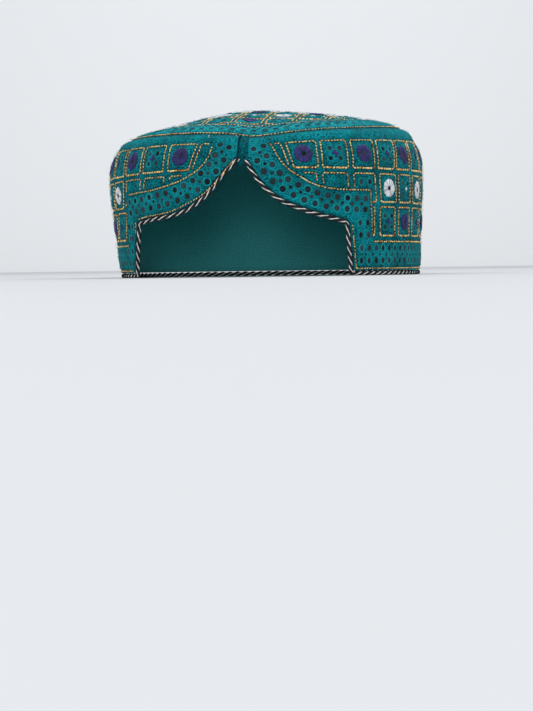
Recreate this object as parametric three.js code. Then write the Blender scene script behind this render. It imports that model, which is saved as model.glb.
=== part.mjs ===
// Embroidered cloth cap: a straight side band with a lobed cut-out at the front, a low domed crown sewn
// on at the shoulder, and a twisted cord along the lower edge. Millimetres, +Z up, the front at -Y,
// standing on its cord at z = 0. Angles run from the front centre, positive towards +X.

import * as THREE from 'three';

// Overall sizes
const CAP_WIDTH = 175;
const CAP_LENGTH = 186;
const SEAM_HEIGHT = 80.5;
const DOME_RISE = 12;

// Cloth, cord and the gap between pieces
const WALL = 2.2;
const TUCK_WALL = 1.4;
const CORD = 2.4;
const CLEARANCE = 0.3;

// How far the rim draws in below the widest line, all round and once more on the -X side
const RIM_TAPER = 2.2;
const SIDE_TAPER = 4.3;
const TAPER_SHARE = 0.75;
const TAPER_POWER = 1.15;

// Front cut-out: heights of the cord's middle, and the steps where the lobes meet the ear flaps
const NOTCH_HEIGHT = 59.8;
const STEP_HEIGHT = 28;
const RIGHT_STEP_ANGLE = 38.6;
const LEFT_STEP_ANGLE = 44.4;
const RIGHT_STEP_LEAN = 2.1;
const LEFT_STEP_LEAN = 5.3;
const CORNER_RADIUS = 2.6;
const NOTCH_WIDTH = 4.2;
const NOTCH_SHIFT = 1.4;

// Plain end of the band, tucked behind its other end at the front centre
const TUCK_OVERLAP = 4.2;
const TUCK_HEM_DROP = 1.2;
const TUCK_TOP = 0.992;

// Mesh fineness
const EDGE_STEP = 6.2;
const LOBE_STEP = 4.6;
const WALL_ROWS = 12;
const CROWN_RINGS = 9;
const CROWN_SPOKES = 72;
const CORD_SIDES = 8;

// How the mesh crowds towards the seam on the wall and the crown, and towards the notch on the lobes
const WALL_CROWDING = 1.35;
const CROWN_CROWDING = 1.15;
const LOBE_CROWDING = 1.25;

// Outline of the cap from the rim to the top. up: share of the seam's height, out: share of half the width
const WALL_SECTIONS = [
  { up: 0.0, out: 1.0 },
  { up: 0.3, out: 1.0 },
  { up: 0.66, out: 1.0 },
  { up: 0.76, out: 0.992 },
  { up: 0.86, out: 0.967 },
  { up: 0.92, out: 0.938 },
  { up: 0.965, out: 0.906 },
  { up: 1.0, out: 0.854 },
];

// The crown inside its seam. reach: share of the way from the seam to the top, down: share of the drop
// from the top to the seam
const CROWN_SECTIONS = [
  { reach: 0.0, down: 1.0 },
  { reach: 0.08, down: 0.86 },
  { reach: 0.17, down: 0.735 },
  { reach: 0.29, down: 0.59 },
  { reach: 0.42, down: 0.44 },
  { reach: 0.56, down: 0.3 },
  { reach: 0.7, down: 0.175 },
  { reach: 0.85, down: 0.06 },
  { reach: 1.0, down: 0.0 },
];

// Height of the crown seam round the cap, as a share of SEAM_HEIGHT
const SEAM_LINE = [
  { angle: -180, up: 0.978 },
  { angle: -130, up: 0.956 },
  { angle: -90, up: 0.945 },
  { angle: -48, up: 0.947 },
  { angle: -20, up: 0.943 },
  { angle: -5, up: 0.93 },
  { angle: 3, up: 0.912 },
  { angle: 9, up: 0.916 },
  { angle: 22, up: 0.943 },
  { angle: 40, up: 0.968 },
  { angle: 90, up: 1.01 },
  { angle: 130, up: 1.008 },
  { angle: 180, up: 0.978 },
];

// Lobes of the front cut-out. along: share of the way from the notch to the step, up: share of the way
// from the step's height to the notch's
const RIGHT_LOBE = [
  { along: 0.0, up: 1.0 },
  { along: 0.14, up: 0.635 },
  { along: 0.31, up: 0.378 },
  { along: 0.53, up: 0.21 },
  { along: 0.76, up: 0.096 },
  { along: 1.0, up: 0.0 },
];
const LEFT_LOBE = [
  { along: 0.0, up: 1.04 },
  { along: 0.12, up: 0.79 },
  { along: 0.26, up: 0.465 },
  { along: 0.42, up: 0.25 },
  { along: 0.57, up: 0.153 },
  { along: 0.8, up: 0.095 },
  { along: 1.0, up: 0.03 },
];

// Soft dents and swells of the crown. angle, reach: where the middle lies, spread: share of half the
// width, lift: share of DOME_RISE
const CROWN_DENTS = [
  { angle: 66, reach: 0.34, spread: 0.34, lift: 0.05 },
  { angle: 100, reach: 0.14, spread: 0.26, lift: 0.05 },
  { angle: -84, reach: 0.42, spread: 0.42, lift: -0.16 },
  { angle: -8, reach: 0.42, spread: 0.2, lift: 0.07 },
  { angle: 28, reach: 0.5, spread: 0.22, lift: -0.07 },
  { angle: 150, reach: 0.45, spread: 0.36, lift: -0.09 },
  { angle: -145, reach: 0.3, spread: 0.34, lift: 0.07 },
];

// The top's place across the cap, as a share of half the width, and the share of the crown beside the seam
// where its dents fade out
const TOP_SHIFT = -0.1;
const DENT_FADE = 0.17;

const FULL_TURN = 360;
const SEAM_T = 1;
const TOP_T = 2;
const MID_RADIUS = (CAP_WIDTH + CAP_LENGTH) / 4;
const radians = THREE.MathUtils.degToRad;

// Smooth value of column y at x, through rows sorted by column x
function along(rows, x, xName, yName) {
  const last = rows.length - 1;
  let i = 0;
  while (i < last - 1 && x > rows[i + 1][xName]) i += 1;
  const slope = (j) => {
    const a = rows[Math.max(j - 1, 0)];
    const b = rows[Math.min(j + 1, last)];
    return (b[yName] - a[yName]) / (b[xName] - a[xName]);
  };
  const from = rows[i];
  const to = rows[i + 1];
  const width = to[xName] - from[xName];
  const s = THREE.MathUtils.clamp((x - from[xName]) / width, 0, 1);
  const s2 = s * s;
  const s3 = s2 * s;
  return (
    from[yName] * (2 * s3 - 3 * s2 + 1) +
    slope(i) * width * (s3 - 2 * s2 + s) +
    to[yName] * (3 * s2 - 2 * s3) +
    slope(i + 1) * width * (s3 - s2)
  );
}

function wrapped(angle) {
  return THREE.MathUtils.euclideanModulo(angle + FULL_TURN / 2, FULL_TURN) - FULL_TURN / 2;
}

function seamHeight(angle) {
  return SEAM_HEIGHT * along(SEAM_LINE, wrapped(angle), 'angle', 'up');
}

// How far the wall draws in towards the rim at this angle, in millimetres
function taper(angle, t) {
  const side = (1 - Math.sin(radians(angle))) / 2;
  const full = RIM_TAPER + SIDE_TAPER * side ** 3;
  return full * Math.max(0, 1 - t / TAPER_SHARE) ** TAPER_POWER;
}

// Point on the wall's outer face: t runs from 0 at the rim to 1 at the crown seam
function wallPoint(angle, t) {
  const share = along(WALL_SECTIONS, t, 'up', 'out');
  const inward = taper(angle, t);
  const a = (CAP_WIDTH / 2) * share - inward;
  const b = (CAP_LENGTH / 2) * share - inward;
  const turn = radians(angle);
  return new THREE.Vector3(a * Math.sin(turn), -b * Math.cos(turn), seamHeight(angle) * t);
}

function topPoint() {
  const height = SEAM_HEIGHT + DOME_RISE;
  return new THREE.Vector3((TOP_SHIFT * CAP_WIDTH) / 2, 0, height);
}

// Point on the crown's outer face: t runs from 1 at the seam to 2 at the top
function crownPoint(angle, t) {
  const reach = t - SEAM_T;
  const seam = wallPoint(angle, SEAM_T);
  const top = topPoint();
  const point = seam.clone().lerp(top, reach);
  point.z = top.z - (top.z - seam.z) * along(CROWN_SECTIONS, reach, 'reach', 'down');
  for (const dent of CROWN_DENTS) {
    const middle = wallPoint(dent.angle, SEAM_T).lerp(top, dent.reach);
    const away = Math.hypot(point.x - middle.x, point.y - middle.y);
    const spread = (dent.spread * CAP_WIDTH) / 2;
    const fade = Math.min(1, reach / DENT_FADE);
    point.z += DOME_RISE * dent.lift * Math.exp(-((away / spread) ** 2)) * fade;
  }
  return point;
}

function outerPoint(angle, t) {
  return t <= SEAM_T ? wallPoint(angle, t) : crownPoint(angle, t);
}

// Outward normal of the whole cap, smooth across the seam
function outerNormal(angle, t) {
  const dt = 0.02;
  const low = Math.max(0, t - dt);
  const high = Math.min(TOP_T, t + dt);
  const up = outerPoint(angle, high).sub(outerPoint(angle, low));
  const turn = outerPoint(angle + 1, t).sub(outerPoint(angle - 1, t));
  return turn.cross(up).normalize();
}

// Millimetres round the cap that one degree takes
const ARC = radians(1) * MID_RADIUS;

// Cuts the corners of an unrolled outline to arcs and adds points no further apart than each leg's step
function roundedOutline(corners) {
  const out = [];
  const push = (p) => out.push(p.clone());
  push(corners[0].point);
  for (let i = 1; i < corners.length; i += 1) {
    const { point, radius, step } = corners[i];
    const before = point.clone().sub(corners[i - 1].point);
    const start = out[out.length - 1].clone();
    let end = point.clone();
    let arc = [];
    if (radius > 0) {
      const after = corners[i + 1].point.clone().sub(point);
      const bend = Math.acos(before.clone().normalize().dot(after.clone().normalize()));
      const cut = radius * Math.tan(bend / 2);
      const first = point.clone().sub(before.clone().setLength(cut));
      const second = point.clone().add(after.clone().setLength(cut));
      end = first;
      arc = new THREE.QuadraticBezierCurve(first, point, second).getPoints(4).slice(1);
    }
    const count = Math.max(1, Math.ceil(start.distanceTo(end) / step));
    for (let k = 1; k <= count; k += 1) push(start.clone().lerp(end, k / count));
    arc.forEach(push);
  }
  return out;
}

// One lobe as unrolled points from the notch to its step
function lobePoints(table, side, stepAngle) {
  const from = NOTCH_WIDTH / 2 + side * NOTCH_SHIFT;
  const to = stepAngle * ARC;
  const rise = NOTCH_HEIGHT - STEP_HEIGHT;
  const count = Math.ceil(Math.hypot(to - from, rise) / LOBE_STEP);
  const points = [];
  for (let k = 0; k <= count; k += 1) {
    const share = (k / count) ** LOBE_CROWDING;
    const height = STEP_HEIGHT + rise * along(table, share, 'along', 'up');
    points.push(new THREE.Vector2(side * (from + (to - from) * share), height));
  }
  return points;
}

// Middle line of the cord, unrolled: x is millimetres round the cap from the front centre, y the height
function cordOutline() {
  const rimHeight = CORD / 2;
  const full = FULL_TURN * ARC;
  const right = lobePoints(RIGHT_LOBE, 1, RIGHT_STEP_ANGLE);
  const left = lobePoints(LEFT_LOBE, -1, LEFT_STEP_ANGLE).reverse();
  const rightFoot = new THREE.Vector2((RIGHT_STEP_ANGLE + RIGHT_STEP_LEAN) * ARC, rimHeight);
  const leftFoot = new THREE.Vector2(full - (LEFT_STEP_ANGLE + LEFT_STEP_LEAN) * ARC, rimHeight);
  left.forEach((p) => p.setX(p.x + full));
  const corners = [];
  right.forEach((point, i) => {
    corners.push({ point, radius: i === right.length - 1 ? CORNER_RADIUS : 0, step: EDGE_STEP });
  });
  corners.push({ point: rightFoot, radius: CORNER_RADIUS, step: EDGE_STEP });
  corners.push({ point: leftFoot, radius: CORNER_RADIUS, step: EDGE_STEP });
  left.forEach((point, i) => {
    corners.push({ point, radius: i === 0 ? CORNER_RADIUS : 0, step: EDGE_STEP });
  });
  return roundedOutline(corners);
}

// An unrolled line moved sideways towards the cloth
function offsetOutline(points, distance) {
  return points.map((point, i) => {
    const back = points[Math.max(i - 1, 0)];
    const next = points[Math.min(i + 1, points.length - 1)];
    const before = point.clone().sub(back);
    const after = next.clone().sub(point);
    if (i === 0) before.copy(after);
    if (i === points.length - 1) after.copy(before);
    const normal = before.normalize().add(after.normalize()).normalize();
    const mitre = distance / Math.max(0.5, normal.dot(after));
    return new THREE.Vector2(point.x - normal.y * mitre, point.y + normal.x * mitre);
  });
}

// Closed solid between an outer and an inner grid of points, both [column][row]
function sheetBetween(outer, inner) {
  const columns = outer.length;
  const rows = outer[0].length;
  const positions = [];
  const index = [];
  for (const grid of [outer, inner]) {
    for (const column of grid) for (const p of column) positions.push(p.x, p.y, p.z);
  }
  const at = (layer, c, r) => layer * columns * rows + c * rows + r;
  const quad = (a, b, c, d) => index.push(a, b, c, a, c, d);
  for (let c = 0; c < columns - 1; c += 1) {
    for (let r = 0; r < rows - 1; r += 1) {
      quad(at(0, c, r), at(0, c + 1, r), at(0, c + 1, r + 1), at(0, c, r + 1));
      quad(at(1, c, r), at(1, c, r + 1), at(1, c + 1, r + 1), at(1, c + 1, r));
    }
    quad(at(0, c, 0), at(1, c, 0), at(1, c + 1, 0), at(0, c + 1, 0));
    quad(at(0, c, rows - 1), at(0, c + 1, rows - 1), at(1, c + 1, rows - 1), at(1, c, rows - 1));
  }
  for (let r = 0; r < rows - 1; r += 1) {
    quad(at(0, 0, r), at(0, 0, r + 1), at(1, 0, r + 1), at(1, 0, r));
    quad(at(0, columns - 1, r), at(1, columns - 1, r), at(1, columns - 1, r + 1), at(0, columns - 1, r + 1));
  }
  return solid(positions, index);
}

function solid(positions, index) {
  const geometry = new THREE.BufferGeometry();
  geometry.setAttribute('position', new THREE.Float32BufferAttribute(positions, 3));
  geometry.setIndex(index);
  geometry.computeVertexNormals();
  return geometry;
}

// Columns of the side band: the tucked plain end first, then the embroidered part round to the other end
function bandColumns() {
  const lift = CORD / 2 + CLEARANCE;
  const edge = offsetOutline(cordOutline(), lift);
  const hem = NOTCH_HEIGHT - TUCK_HEM_DROP;
  const inset = WALL / 2 + CORD / 2 + 2 * CLEARANCE;
  const first = edge[0];
  const end = edge[edge.length - 1].x - FULL_TURN * ARC;
  const column = (x, bottom, depth, wall, top) => ({ angle: x / ARC, bottom, depth, wall, top });
  const cordEnd = first.x - lift;
  return [
    column(end - TUCK_OVERLAP, hem, inset, TUCK_WALL, TUCK_TOP),
    column(end - TUCK_OVERLAP / 2, hem, inset, TUCK_WALL, TUCK_TOP),
    column(end, hem, inset, TUCK_WALL, TUCK_TOP),
    column((end + cordEnd) / 2, hem, inset, TUCK_WALL, TUCK_TOP),
    column(cordEnd - lift, hem, inset, TUCK_WALL, TUCK_TOP),
    column(cordEnd - lift / 2, first.y + CLEARANCE, inset, TUCK_WALL, TUCK_TOP),
    column(first.x - lift / 3, first.y + 2 * CLEARANCE, inset / 2, WALL, TUCK_TOP),
    ...edge.map((p) => column(p.x, p.y, 0, WALL, 1)),
  ];
}

function makeSideBand() {
  const outer = [];
  const inner = [];
  for (const { angle, bottom, depth, wall, top } of bandColumns()) {
    const seam = seamHeight(angle);
    const from = bottom / seam;
    const to = top - CLEARANCE / 2 / seam;
    const outerColumn = [];
    const innerColumn = [];
    for (let r = 0; r <= WALL_ROWS; r += 1) {
      const share = 1 - (1 - r / WALL_ROWS) ** WALL_CROWDING;
      const t = from + (to - from) * share;
      const normal = outerNormal(angle, t);
      const face = wallPoint(angle, t).addScaledVector(normal, -depth);
      outerColumn.push(face);
      const back = face.clone().addScaledVector(normal, -wall);
      innerColumn.push(back.setZ(Math.max(back.z, outerColumn[0].z)));
    }
    outer.push(outerColumn);
    inner.push(innerColumn);
  }
  return sheetBetween(outer, inner);
}

function makeCrown() {
  const positions = [];
  const index = [];
  const gap = CLEARANCE / 2 / (CAP_WIDTH / 2);
  const layers = [0, WALL];
  for (const depth of layers) {
    for (let ring = 0; ring < CROWN_RINGS; ring += 1) {
      const t = SEAM_T + gap + (1 - gap) * (ring / CROWN_RINGS) ** CROWN_CROWDING;
      for (let spoke = 0; spoke < CROWN_SPOKES; spoke += 1) {
        const angle = (FULL_TURN * spoke) / CROWN_SPOKES;
        const p = crownPoint(angle, t).addScaledVector(outerNormal(angle, t), -depth);
        positions.push(p.x, p.y, p.z);
      }
    }
  }
  for (const depth of layers) {
    const top = crownPoint(0, TOP_T);
    positions.push(top.x, top.y, top.z - depth);
  }
  const at = (layer, ring, spoke) => (layer * CROWN_RINGS + ring) * CROWN_SPOKES + (spoke % CROWN_SPOKES);
  const quad = (a, b, c, d) => index.push(a, b, c, a, c, d);
  const tops = 2 * CROWN_RINGS * CROWN_SPOKES;
  for (let s = 0; s < CROWN_SPOKES; s += 1) {
    for (let r = 0; r < CROWN_RINGS - 1; r += 1) {
      quad(at(0, r, s), at(0, r, s + 1), at(0, r + 1, s + 1), at(0, r + 1, s));
      quad(at(1, r, s), at(1, r + 1, s), at(1, r + 1, s + 1), at(1, r, s + 1));
    }
    quad(at(0, 0, s), at(1, 0, s), at(1, 0, s + 1), at(0, 0, s + 1));
    const last = CROWN_RINGS - 1;
    index.push(at(0, last, s), at(0, last, s + 1), tops);
    index.push(at(1, last, s + 1), at(1, last, s), tops + 1);
  }
  return solid(positions, index);
}

// Middle line of the cord in space, on the middle of the wall's thickness
function cordPath() {
  return cordOutline().map(({ x, y }) => {
    const angle = x / ARC;
    const t = y / seamHeight(angle);
    const out = outerNormal(angle, t).setZ(0).normalize();
    const point = wallPoint(angle, t).addScaledVector(out, -WALL / 2);
    return { point: point.setZ(y), out };
  });
}

function makeEdgeCord() {
  const path = cordPath();
  const positions = [];
  const index = [];
  const flat = Math.PI / CORD_SIDES;
  const radius = CORD / 2 / Math.cos(flat);
  path.forEach(({ point, out }, i) => {
    const back = path[Math.max(i - 1, 0)].point;
    const next = path[Math.min(i + 1, path.length - 1)].point;
    const before = point.clone().sub(back).normalize();
    const after = next.clone().sub(point).normalize();
    const tangent = before.clone().add(after).normalize();
    const side = out.clone().addScaledVector(tangent, -out.dot(tangent)).normalize();
    const over = new THREE.Vector3().crossVectors(side, tangent).negate();
    const inside = i > 0 && i < path.length - 1;
    const stretch = inside ? 1 / Math.max(0.7, tangent.dot(after)) : 1;
    for (let k = 0; k < CORD_SIDES; k += 1) {
      const turn = flat + (2 * Math.PI * k) / CORD_SIDES;
      const p = point.clone();
      p.addScaledVector(side, radius * Math.cos(turn));
      p.addScaledVector(over, radius * Math.sin(turn) * stretch);
      positions.push(p.x, p.y, p.z);
    }
  });
  const at = (i, k) => i * CORD_SIDES + (k % CORD_SIDES);
  for (let i = 0; i < path.length - 1; i += 1) {
    for (let k = 0; k < CORD_SIDES; k += 1) {
      index.push(at(i, k), at(i, k + 1), at(i + 1, k + 1), at(i, k), at(i + 1, k + 1), at(i + 1, k));
    }
  }
  const last = path.length - 1;
  for (let k = 1; k < CORD_SIDES - 1; k += 1) {
    index.push(at(0, 0), at(0, k + 1), at(0, k));
    index.push(at(last, 0), at(last, k), at(last, k + 1));
  }
  return solid(positions, index);
}

function cloth(color) {
  return new THREE.MeshStandardMaterial({ color, roughness: 0.85, metalness: 0 });
}

function piece(name, geometry, material) {
  const mesh = new THREE.Mesh(geometry, material);
  mesh.name = name;
  return mesh;
}

const cap = new THREE.Group();
cap.add(piece('side_band', makeSideBand(), cloth(0x0e8084)));
cap.add(piece('crown', makeCrown(), cloth(0x128a8e)));
cap.add(piece('edge_cord', makeEdgeCord(), cloth(0x2a2e32)));

export default cap;
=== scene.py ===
import sys
import logging
import math
from dataclasses import dataclass
from enum import Enum
from typing import Iterable, NamedTuple, Sequence

import bpy
import numpy as np
from bpy.types import Material, Node, NodeSocket, NodeTree, Object
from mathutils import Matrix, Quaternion, Vector
from mathutils.kdtree import KDTree


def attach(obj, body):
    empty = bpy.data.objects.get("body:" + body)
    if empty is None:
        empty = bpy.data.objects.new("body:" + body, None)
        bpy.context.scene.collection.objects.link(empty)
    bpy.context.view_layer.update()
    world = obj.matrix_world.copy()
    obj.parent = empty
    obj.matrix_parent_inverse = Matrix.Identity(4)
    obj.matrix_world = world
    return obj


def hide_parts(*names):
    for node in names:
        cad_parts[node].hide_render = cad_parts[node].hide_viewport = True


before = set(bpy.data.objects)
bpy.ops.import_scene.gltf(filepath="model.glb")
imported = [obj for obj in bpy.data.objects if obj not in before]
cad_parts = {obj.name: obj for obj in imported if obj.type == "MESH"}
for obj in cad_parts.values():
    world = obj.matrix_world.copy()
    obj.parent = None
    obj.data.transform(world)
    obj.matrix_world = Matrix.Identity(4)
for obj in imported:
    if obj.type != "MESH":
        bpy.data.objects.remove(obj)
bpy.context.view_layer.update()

Array = np.ndarray
log = logging.getLogger("cap")

# Shapes are worked out in millimetres and written to the meshes in metres
MM = 0.001
FULL_TURN = 360.0
PHOTO_SIZE = (533, 711)
SMALLEST_ROSETTE = 2.0
# Spacing of the points along a gold line
LINE_STEP = 0.5
ROOT = "root"


class WallSection(NamedTuple):
    """Share of the seam's height against share of half the cap's width."""

    up: float
    out: float


class CrownSection(NamedTuple):
    """Share of the way from the seam to the top against share of the drop from the top."""

    reach: float
    down: float


class SeamHeight(NamedTuple):
    """Height of the crown seam at an angle from the front, as a share of the named seam height."""

    angle: float
    up: float


class LobePoint(NamedTuple):
    """Share of the way from notch to step against share of the rise from step to notch."""

    along: float
    up: float


class Dent(NamedTuple):
    """A soft dent or swell of the crown: its middle, its spread and its lift as shares."""

    angle: float
    reach: float
    spread: float
    lift: float


def table(kind: type, *rows: tuple) -> tuple:
    """A table of rows of one kind."""
    return tuple(kind(*row) for row in rows)


WALL_SECTIONS = table(
    WallSection, (0.0, 1.0), (0.3, 1.0), (0.66, 1.0), (0.76, 0.992), (0.86, 0.967), (0.92, 0.938),
    (0.965, 0.906), (1.0, 0.854),
)
CROWN_SECTIONS = table(
    CrownSection, (0.0, 1.0), (0.08, 0.86), (0.17, 0.735), (0.29, 0.59), (0.42, 0.44), (0.56, 0.3),
    (0.7, 0.175), (0.85, 0.06), (1.0, 0.0),
)
SEAM_LINE = table(
    SeamHeight, (-180, 0.978), (-130, 0.956), (-90, 0.945), (-48, 0.947), (-20, 0.943), (-5, 0.93),
    (3, 0.912), (9, 0.916), (22, 0.943), (40, 0.968), (90, 1.01), (130, 1.008), (180, 0.978),
)
RIGHT_LOBE = table(
    LobePoint, (0.0, 1.0), (0.14, 0.635), (0.31, 0.378), (0.53, 0.21), (0.76, 0.096), (1.0, 0.0),
)
LEFT_LOBE = table(
    LobePoint, (0.0, 1.04), (0.12, 0.79), (0.26, 0.465), (0.42, 0.25), (0.57, 0.153), (0.8, 0.095),
    (1.0, 0.03),
)
CROWN_DENTS = (
    Dent(66, 0.34, 0.34, 0.05),
    Dent(100, 0.14, 0.26, 0.05),
    Dent(-84, 0.42, 0.42, -0.16),
    Dent(-8, 0.42, 0.2, 0.07),
    Dent(28, 0.5, 0.22, -0.07),
    Dent(150, 0.45, 0.36, -0.09),
    Dent(-145, 0.3, 0.34, 0.07),
)


class SmoothTable:
    """Smooth curve through a table's rows, read at many places at once."""

    def __init__(self, rows: Sequence[tuple]) -> None:
        """Reads the rows.

        Args:
            rows: rows whose first column rises and whose second column is the value.
        """
        self.x = np.array([row[0] for row in rows], float)
        self.y = np.array([row[1] for row in rows], float)
        low = np.maximum(np.arange(len(rows)) - 1, 0)
        high = np.minimum(np.arange(len(rows)) + 1, len(rows) - 1)
        self.slope = (self.y[high] - self.y[low]) / (self.x[high] - self.x[low])

    def __call__(self, at: Array) -> Array:
        """Values at the given places.

        Args:
            at: places along the first column.

        Returns:
            The table's smooth value at each.
        """
        at = np.asarray(at, float)
        i = np.clip(np.searchsorted(self.x, at) - 1, 0, len(self.x) - 2)
        width = self.x[i + 1] - self.x[i]
        s = np.clip((at - self.x[i]) / width, 0, 1)
        s2, s3 = s * s, s * s * s
        return (
            self.y[i] * (2 * s3 - 3 * s2 + 1)
            + self.slope[i] * width * (s3 - 2 * s2 + s)
            + self.y[i + 1] * (3 * s2 - 2 * s3)
            + self.slope[i + 1] * width * (s3 - s2)
        )


def unit(v: Array) -> Array:
    """Vectors scaled to a length of 1."""
    return v / np.maximum(np.linalg.norm(v, axis=-1, keepdims=True), 1e-12)


def lengths(points: Array) -> Array:
    """Length of a line up to each of its points."""
    steps = np.linalg.norm(np.diff(points, axis=0), axis=1)
    return np.concatenate([[0], np.cumsum(steps)])


def signed(angle: Array) -> Array:
    """Angles in degrees brought between -180 and 180."""
    return np.mod(np.asarray(angle, float) + 180, FULL_TURN) - 180


def turns(sides: int) -> Array:
    """Even angles round a full turn, in radians."""
    return 2 * math.pi * np.arange(sides) / sides


def circle(turn: Array, out: Array | float, up: Array | float) -> Array:
    """Points at angles round the z axis, at a reach and a height."""
    return np.stack(np.broadcast_arrays(out * np.cos(turn), out * np.sin(turn), up), -1)


@dataclass
class CapForm:
    """The cap's outer form, in millimetres. Angles are degrees from the front, t is 1 at the seam."""

    half_width: float = 87.5
    half_length: float = 93.0
    seam_height: float = 80.5
    dome_rise: float = 12.0
    wall: float = 2.2
    cord: float = 2.4
    clearance: float = 0.3
    rim_taper: float = 2.2
    side_taper: float = 4.3
    taper_share: float = 0.75
    taper_power: float = 1.15
    top_shift: float = -0.1
    dent_fade: float = 0.17

    def __post_init__(self) -> None:
        """Reads the tables and works out the sizes that follow from the driving ones."""
        self.wall_table = SmoothTable(WALL_SECTIONS)
        self.crown_table = SmoothTable(CROWN_SECTIONS)
        self.seam_table = SmoothTable(SEAM_LINE)
        self.top_height = self.seam_height + self.dome_rise
        self.arc = math.radians(1) * (self.half_width + self.half_length) / 2
        self.top = np.array([self.top_shift * self.half_width, 0.0, self.top_height])

    def seam(self, angle: Array) -> Array:
        """Height of the crown seam at each angle."""
        return self.seam_height * self.seam_table(signed(angle))

    def taper(self, angle: Array, t: Array) -> Array:
        """How far the wall draws in towards the rim."""
        side = (1 - np.sin(np.radians(angle))) / 2
        low = np.maximum(0, 1 - t / self.taper_share)
        return (self.rim_taper + self.side_taper * side**3) * low**self.taper_power

    def wall_point(self, angle: Array, t: Array) -> Array:
        """Points on the wall's outer face.

        Args:
            angle: degrees from the front.
            t: 0 at the rim, 1 at the crown seam.

        Returns:
            Points in millimetres, with x, y and z on the last axis.
        """
        angle, t = np.broadcast_arrays(np.asarray(angle, float), np.asarray(t, float))
        share, inward, turn = self.wall_table(t), self.taper(angle, t), np.radians(angle)
        x = (self.half_width * share - inward) * np.sin(turn)
        y = -(self.half_length * share - inward) * np.cos(turn)
        return np.stack([x, y, self.seam(angle) * t], -1)

    def crown_point(self, angle: Array, t: Array) -> Array:
        """Points on the crown's outer face, with t from 1 at the seam to 2 at the top."""
        angle, t = np.broadcast_arrays(np.asarray(angle, float), np.asarray(t, float))
        reach = t - 1
        seam = self.wall_point(angle, np.ones_like(t))
        point = seam + (self.top - seam) * reach[..., None]
        drop = (self.top[2] - seam[..., 2]) * self.crown_table(reach)
        lift = np.zeros_like(reach)
        for dent in CROWN_DENTS:
            foot = self.wall_point(dent.angle, 1.0)
            middle = foot + (self.top - foot) * dent.reach
            away = np.hypot(point[..., 0] - middle[0], point[..., 1] - middle[1])
            lift += dent.lift * np.exp(-((away / (dent.spread * self.half_width)) ** 2))
        fade = np.minimum(1, reach / self.dent_fade)
        point[..., 2] = self.top[2] - drop + self.dome_rise * lift * fade
        return point

    def point(self, angle: Array, t: Array) -> Array:
        """Points on the wall below t = 1 and on the crown above it."""
        angle, t = np.broadcast_arrays(np.asarray(angle, float), np.asarray(t, float))
        low = self.wall_point(angle, np.minimum(t, 1))
        high = self.crown_point(angle, np.maximum(t, 1))
        return np.where((t <= 1)[..., None], low, high)

    def normal(self, angle: Array, t: Array) -> Array:
        """Outward normals, smooth across the seam."""
        dt = 0.02
        up = self.point(angle, np.minimum(t + dt, 1.995)) - self.point(angle, np.maximum(t - dt, 0))
        turn = self.point(angle + 1, t) - self.point(angle - 1, t)
        return unit(np.cross(turn, up))

    def crown_place(self, x: Array, y: Array) -> tuple[Array, Array]:
        """Angle and t of the crown's points over places in plan.

        Args:
            x: places across the cap.
            y: places from front to back.

        Returns:
            The angles and the values of t.
        """
        a, b = (self.half_width, self.half_length) * np.array(WALL_SECTIONS[-1].out)
        shift = self.top[0]
        qx, qy = x - shift, np.asarray(y, float)
        square = (qx / a) ** 2 + (qy / b) ** 2 + 1e-12
        half = qx * shift / a**2
        rest = (shift / a) ** 2 - 1
        stretch = (-half + np.sqrt(np.maximum(half**2 - square * rest, 0))) / square
        angle = np.degrees(np.arctan2((stretch * qx + shift) / a, -stretch * qy / b))
        return angle, 2 - 1 / np.maximum(stretch, 1)

    def crown_at(self, x: Array, y: Array) -> tuple[Array, Array]:
        """Points and normals of the crown over places in plan."""
        x, y = np.asarray(x, float), np.asarray(y, float)
        step = 0.4
        middle = self.crown_point(*self.crown_place(x, y))
        across = self.crown_point(*self.crown_place(x + step, y)) - middle
        along = self.crown_point(*self.crown_place(x, y + step)) - middle
        return middle, unit(np.cross(across, along))


def even(points: Array, spacing: float) -> Array:
    """A line with points at an even spacing.

    Args:
        points: the line, in two or three columns.
        spacing: distance between the new points.

    Returns:
        The new points, ends kept.
    """
    at = lengths(points)
    new = np.linspace(0, at[-1], max(2, int(round(at[-1] / spacing)) + 1))
    return np.stack([np.interp(new, at, points[:, k]) for k in range(points.shape[1])], -1)


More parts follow.
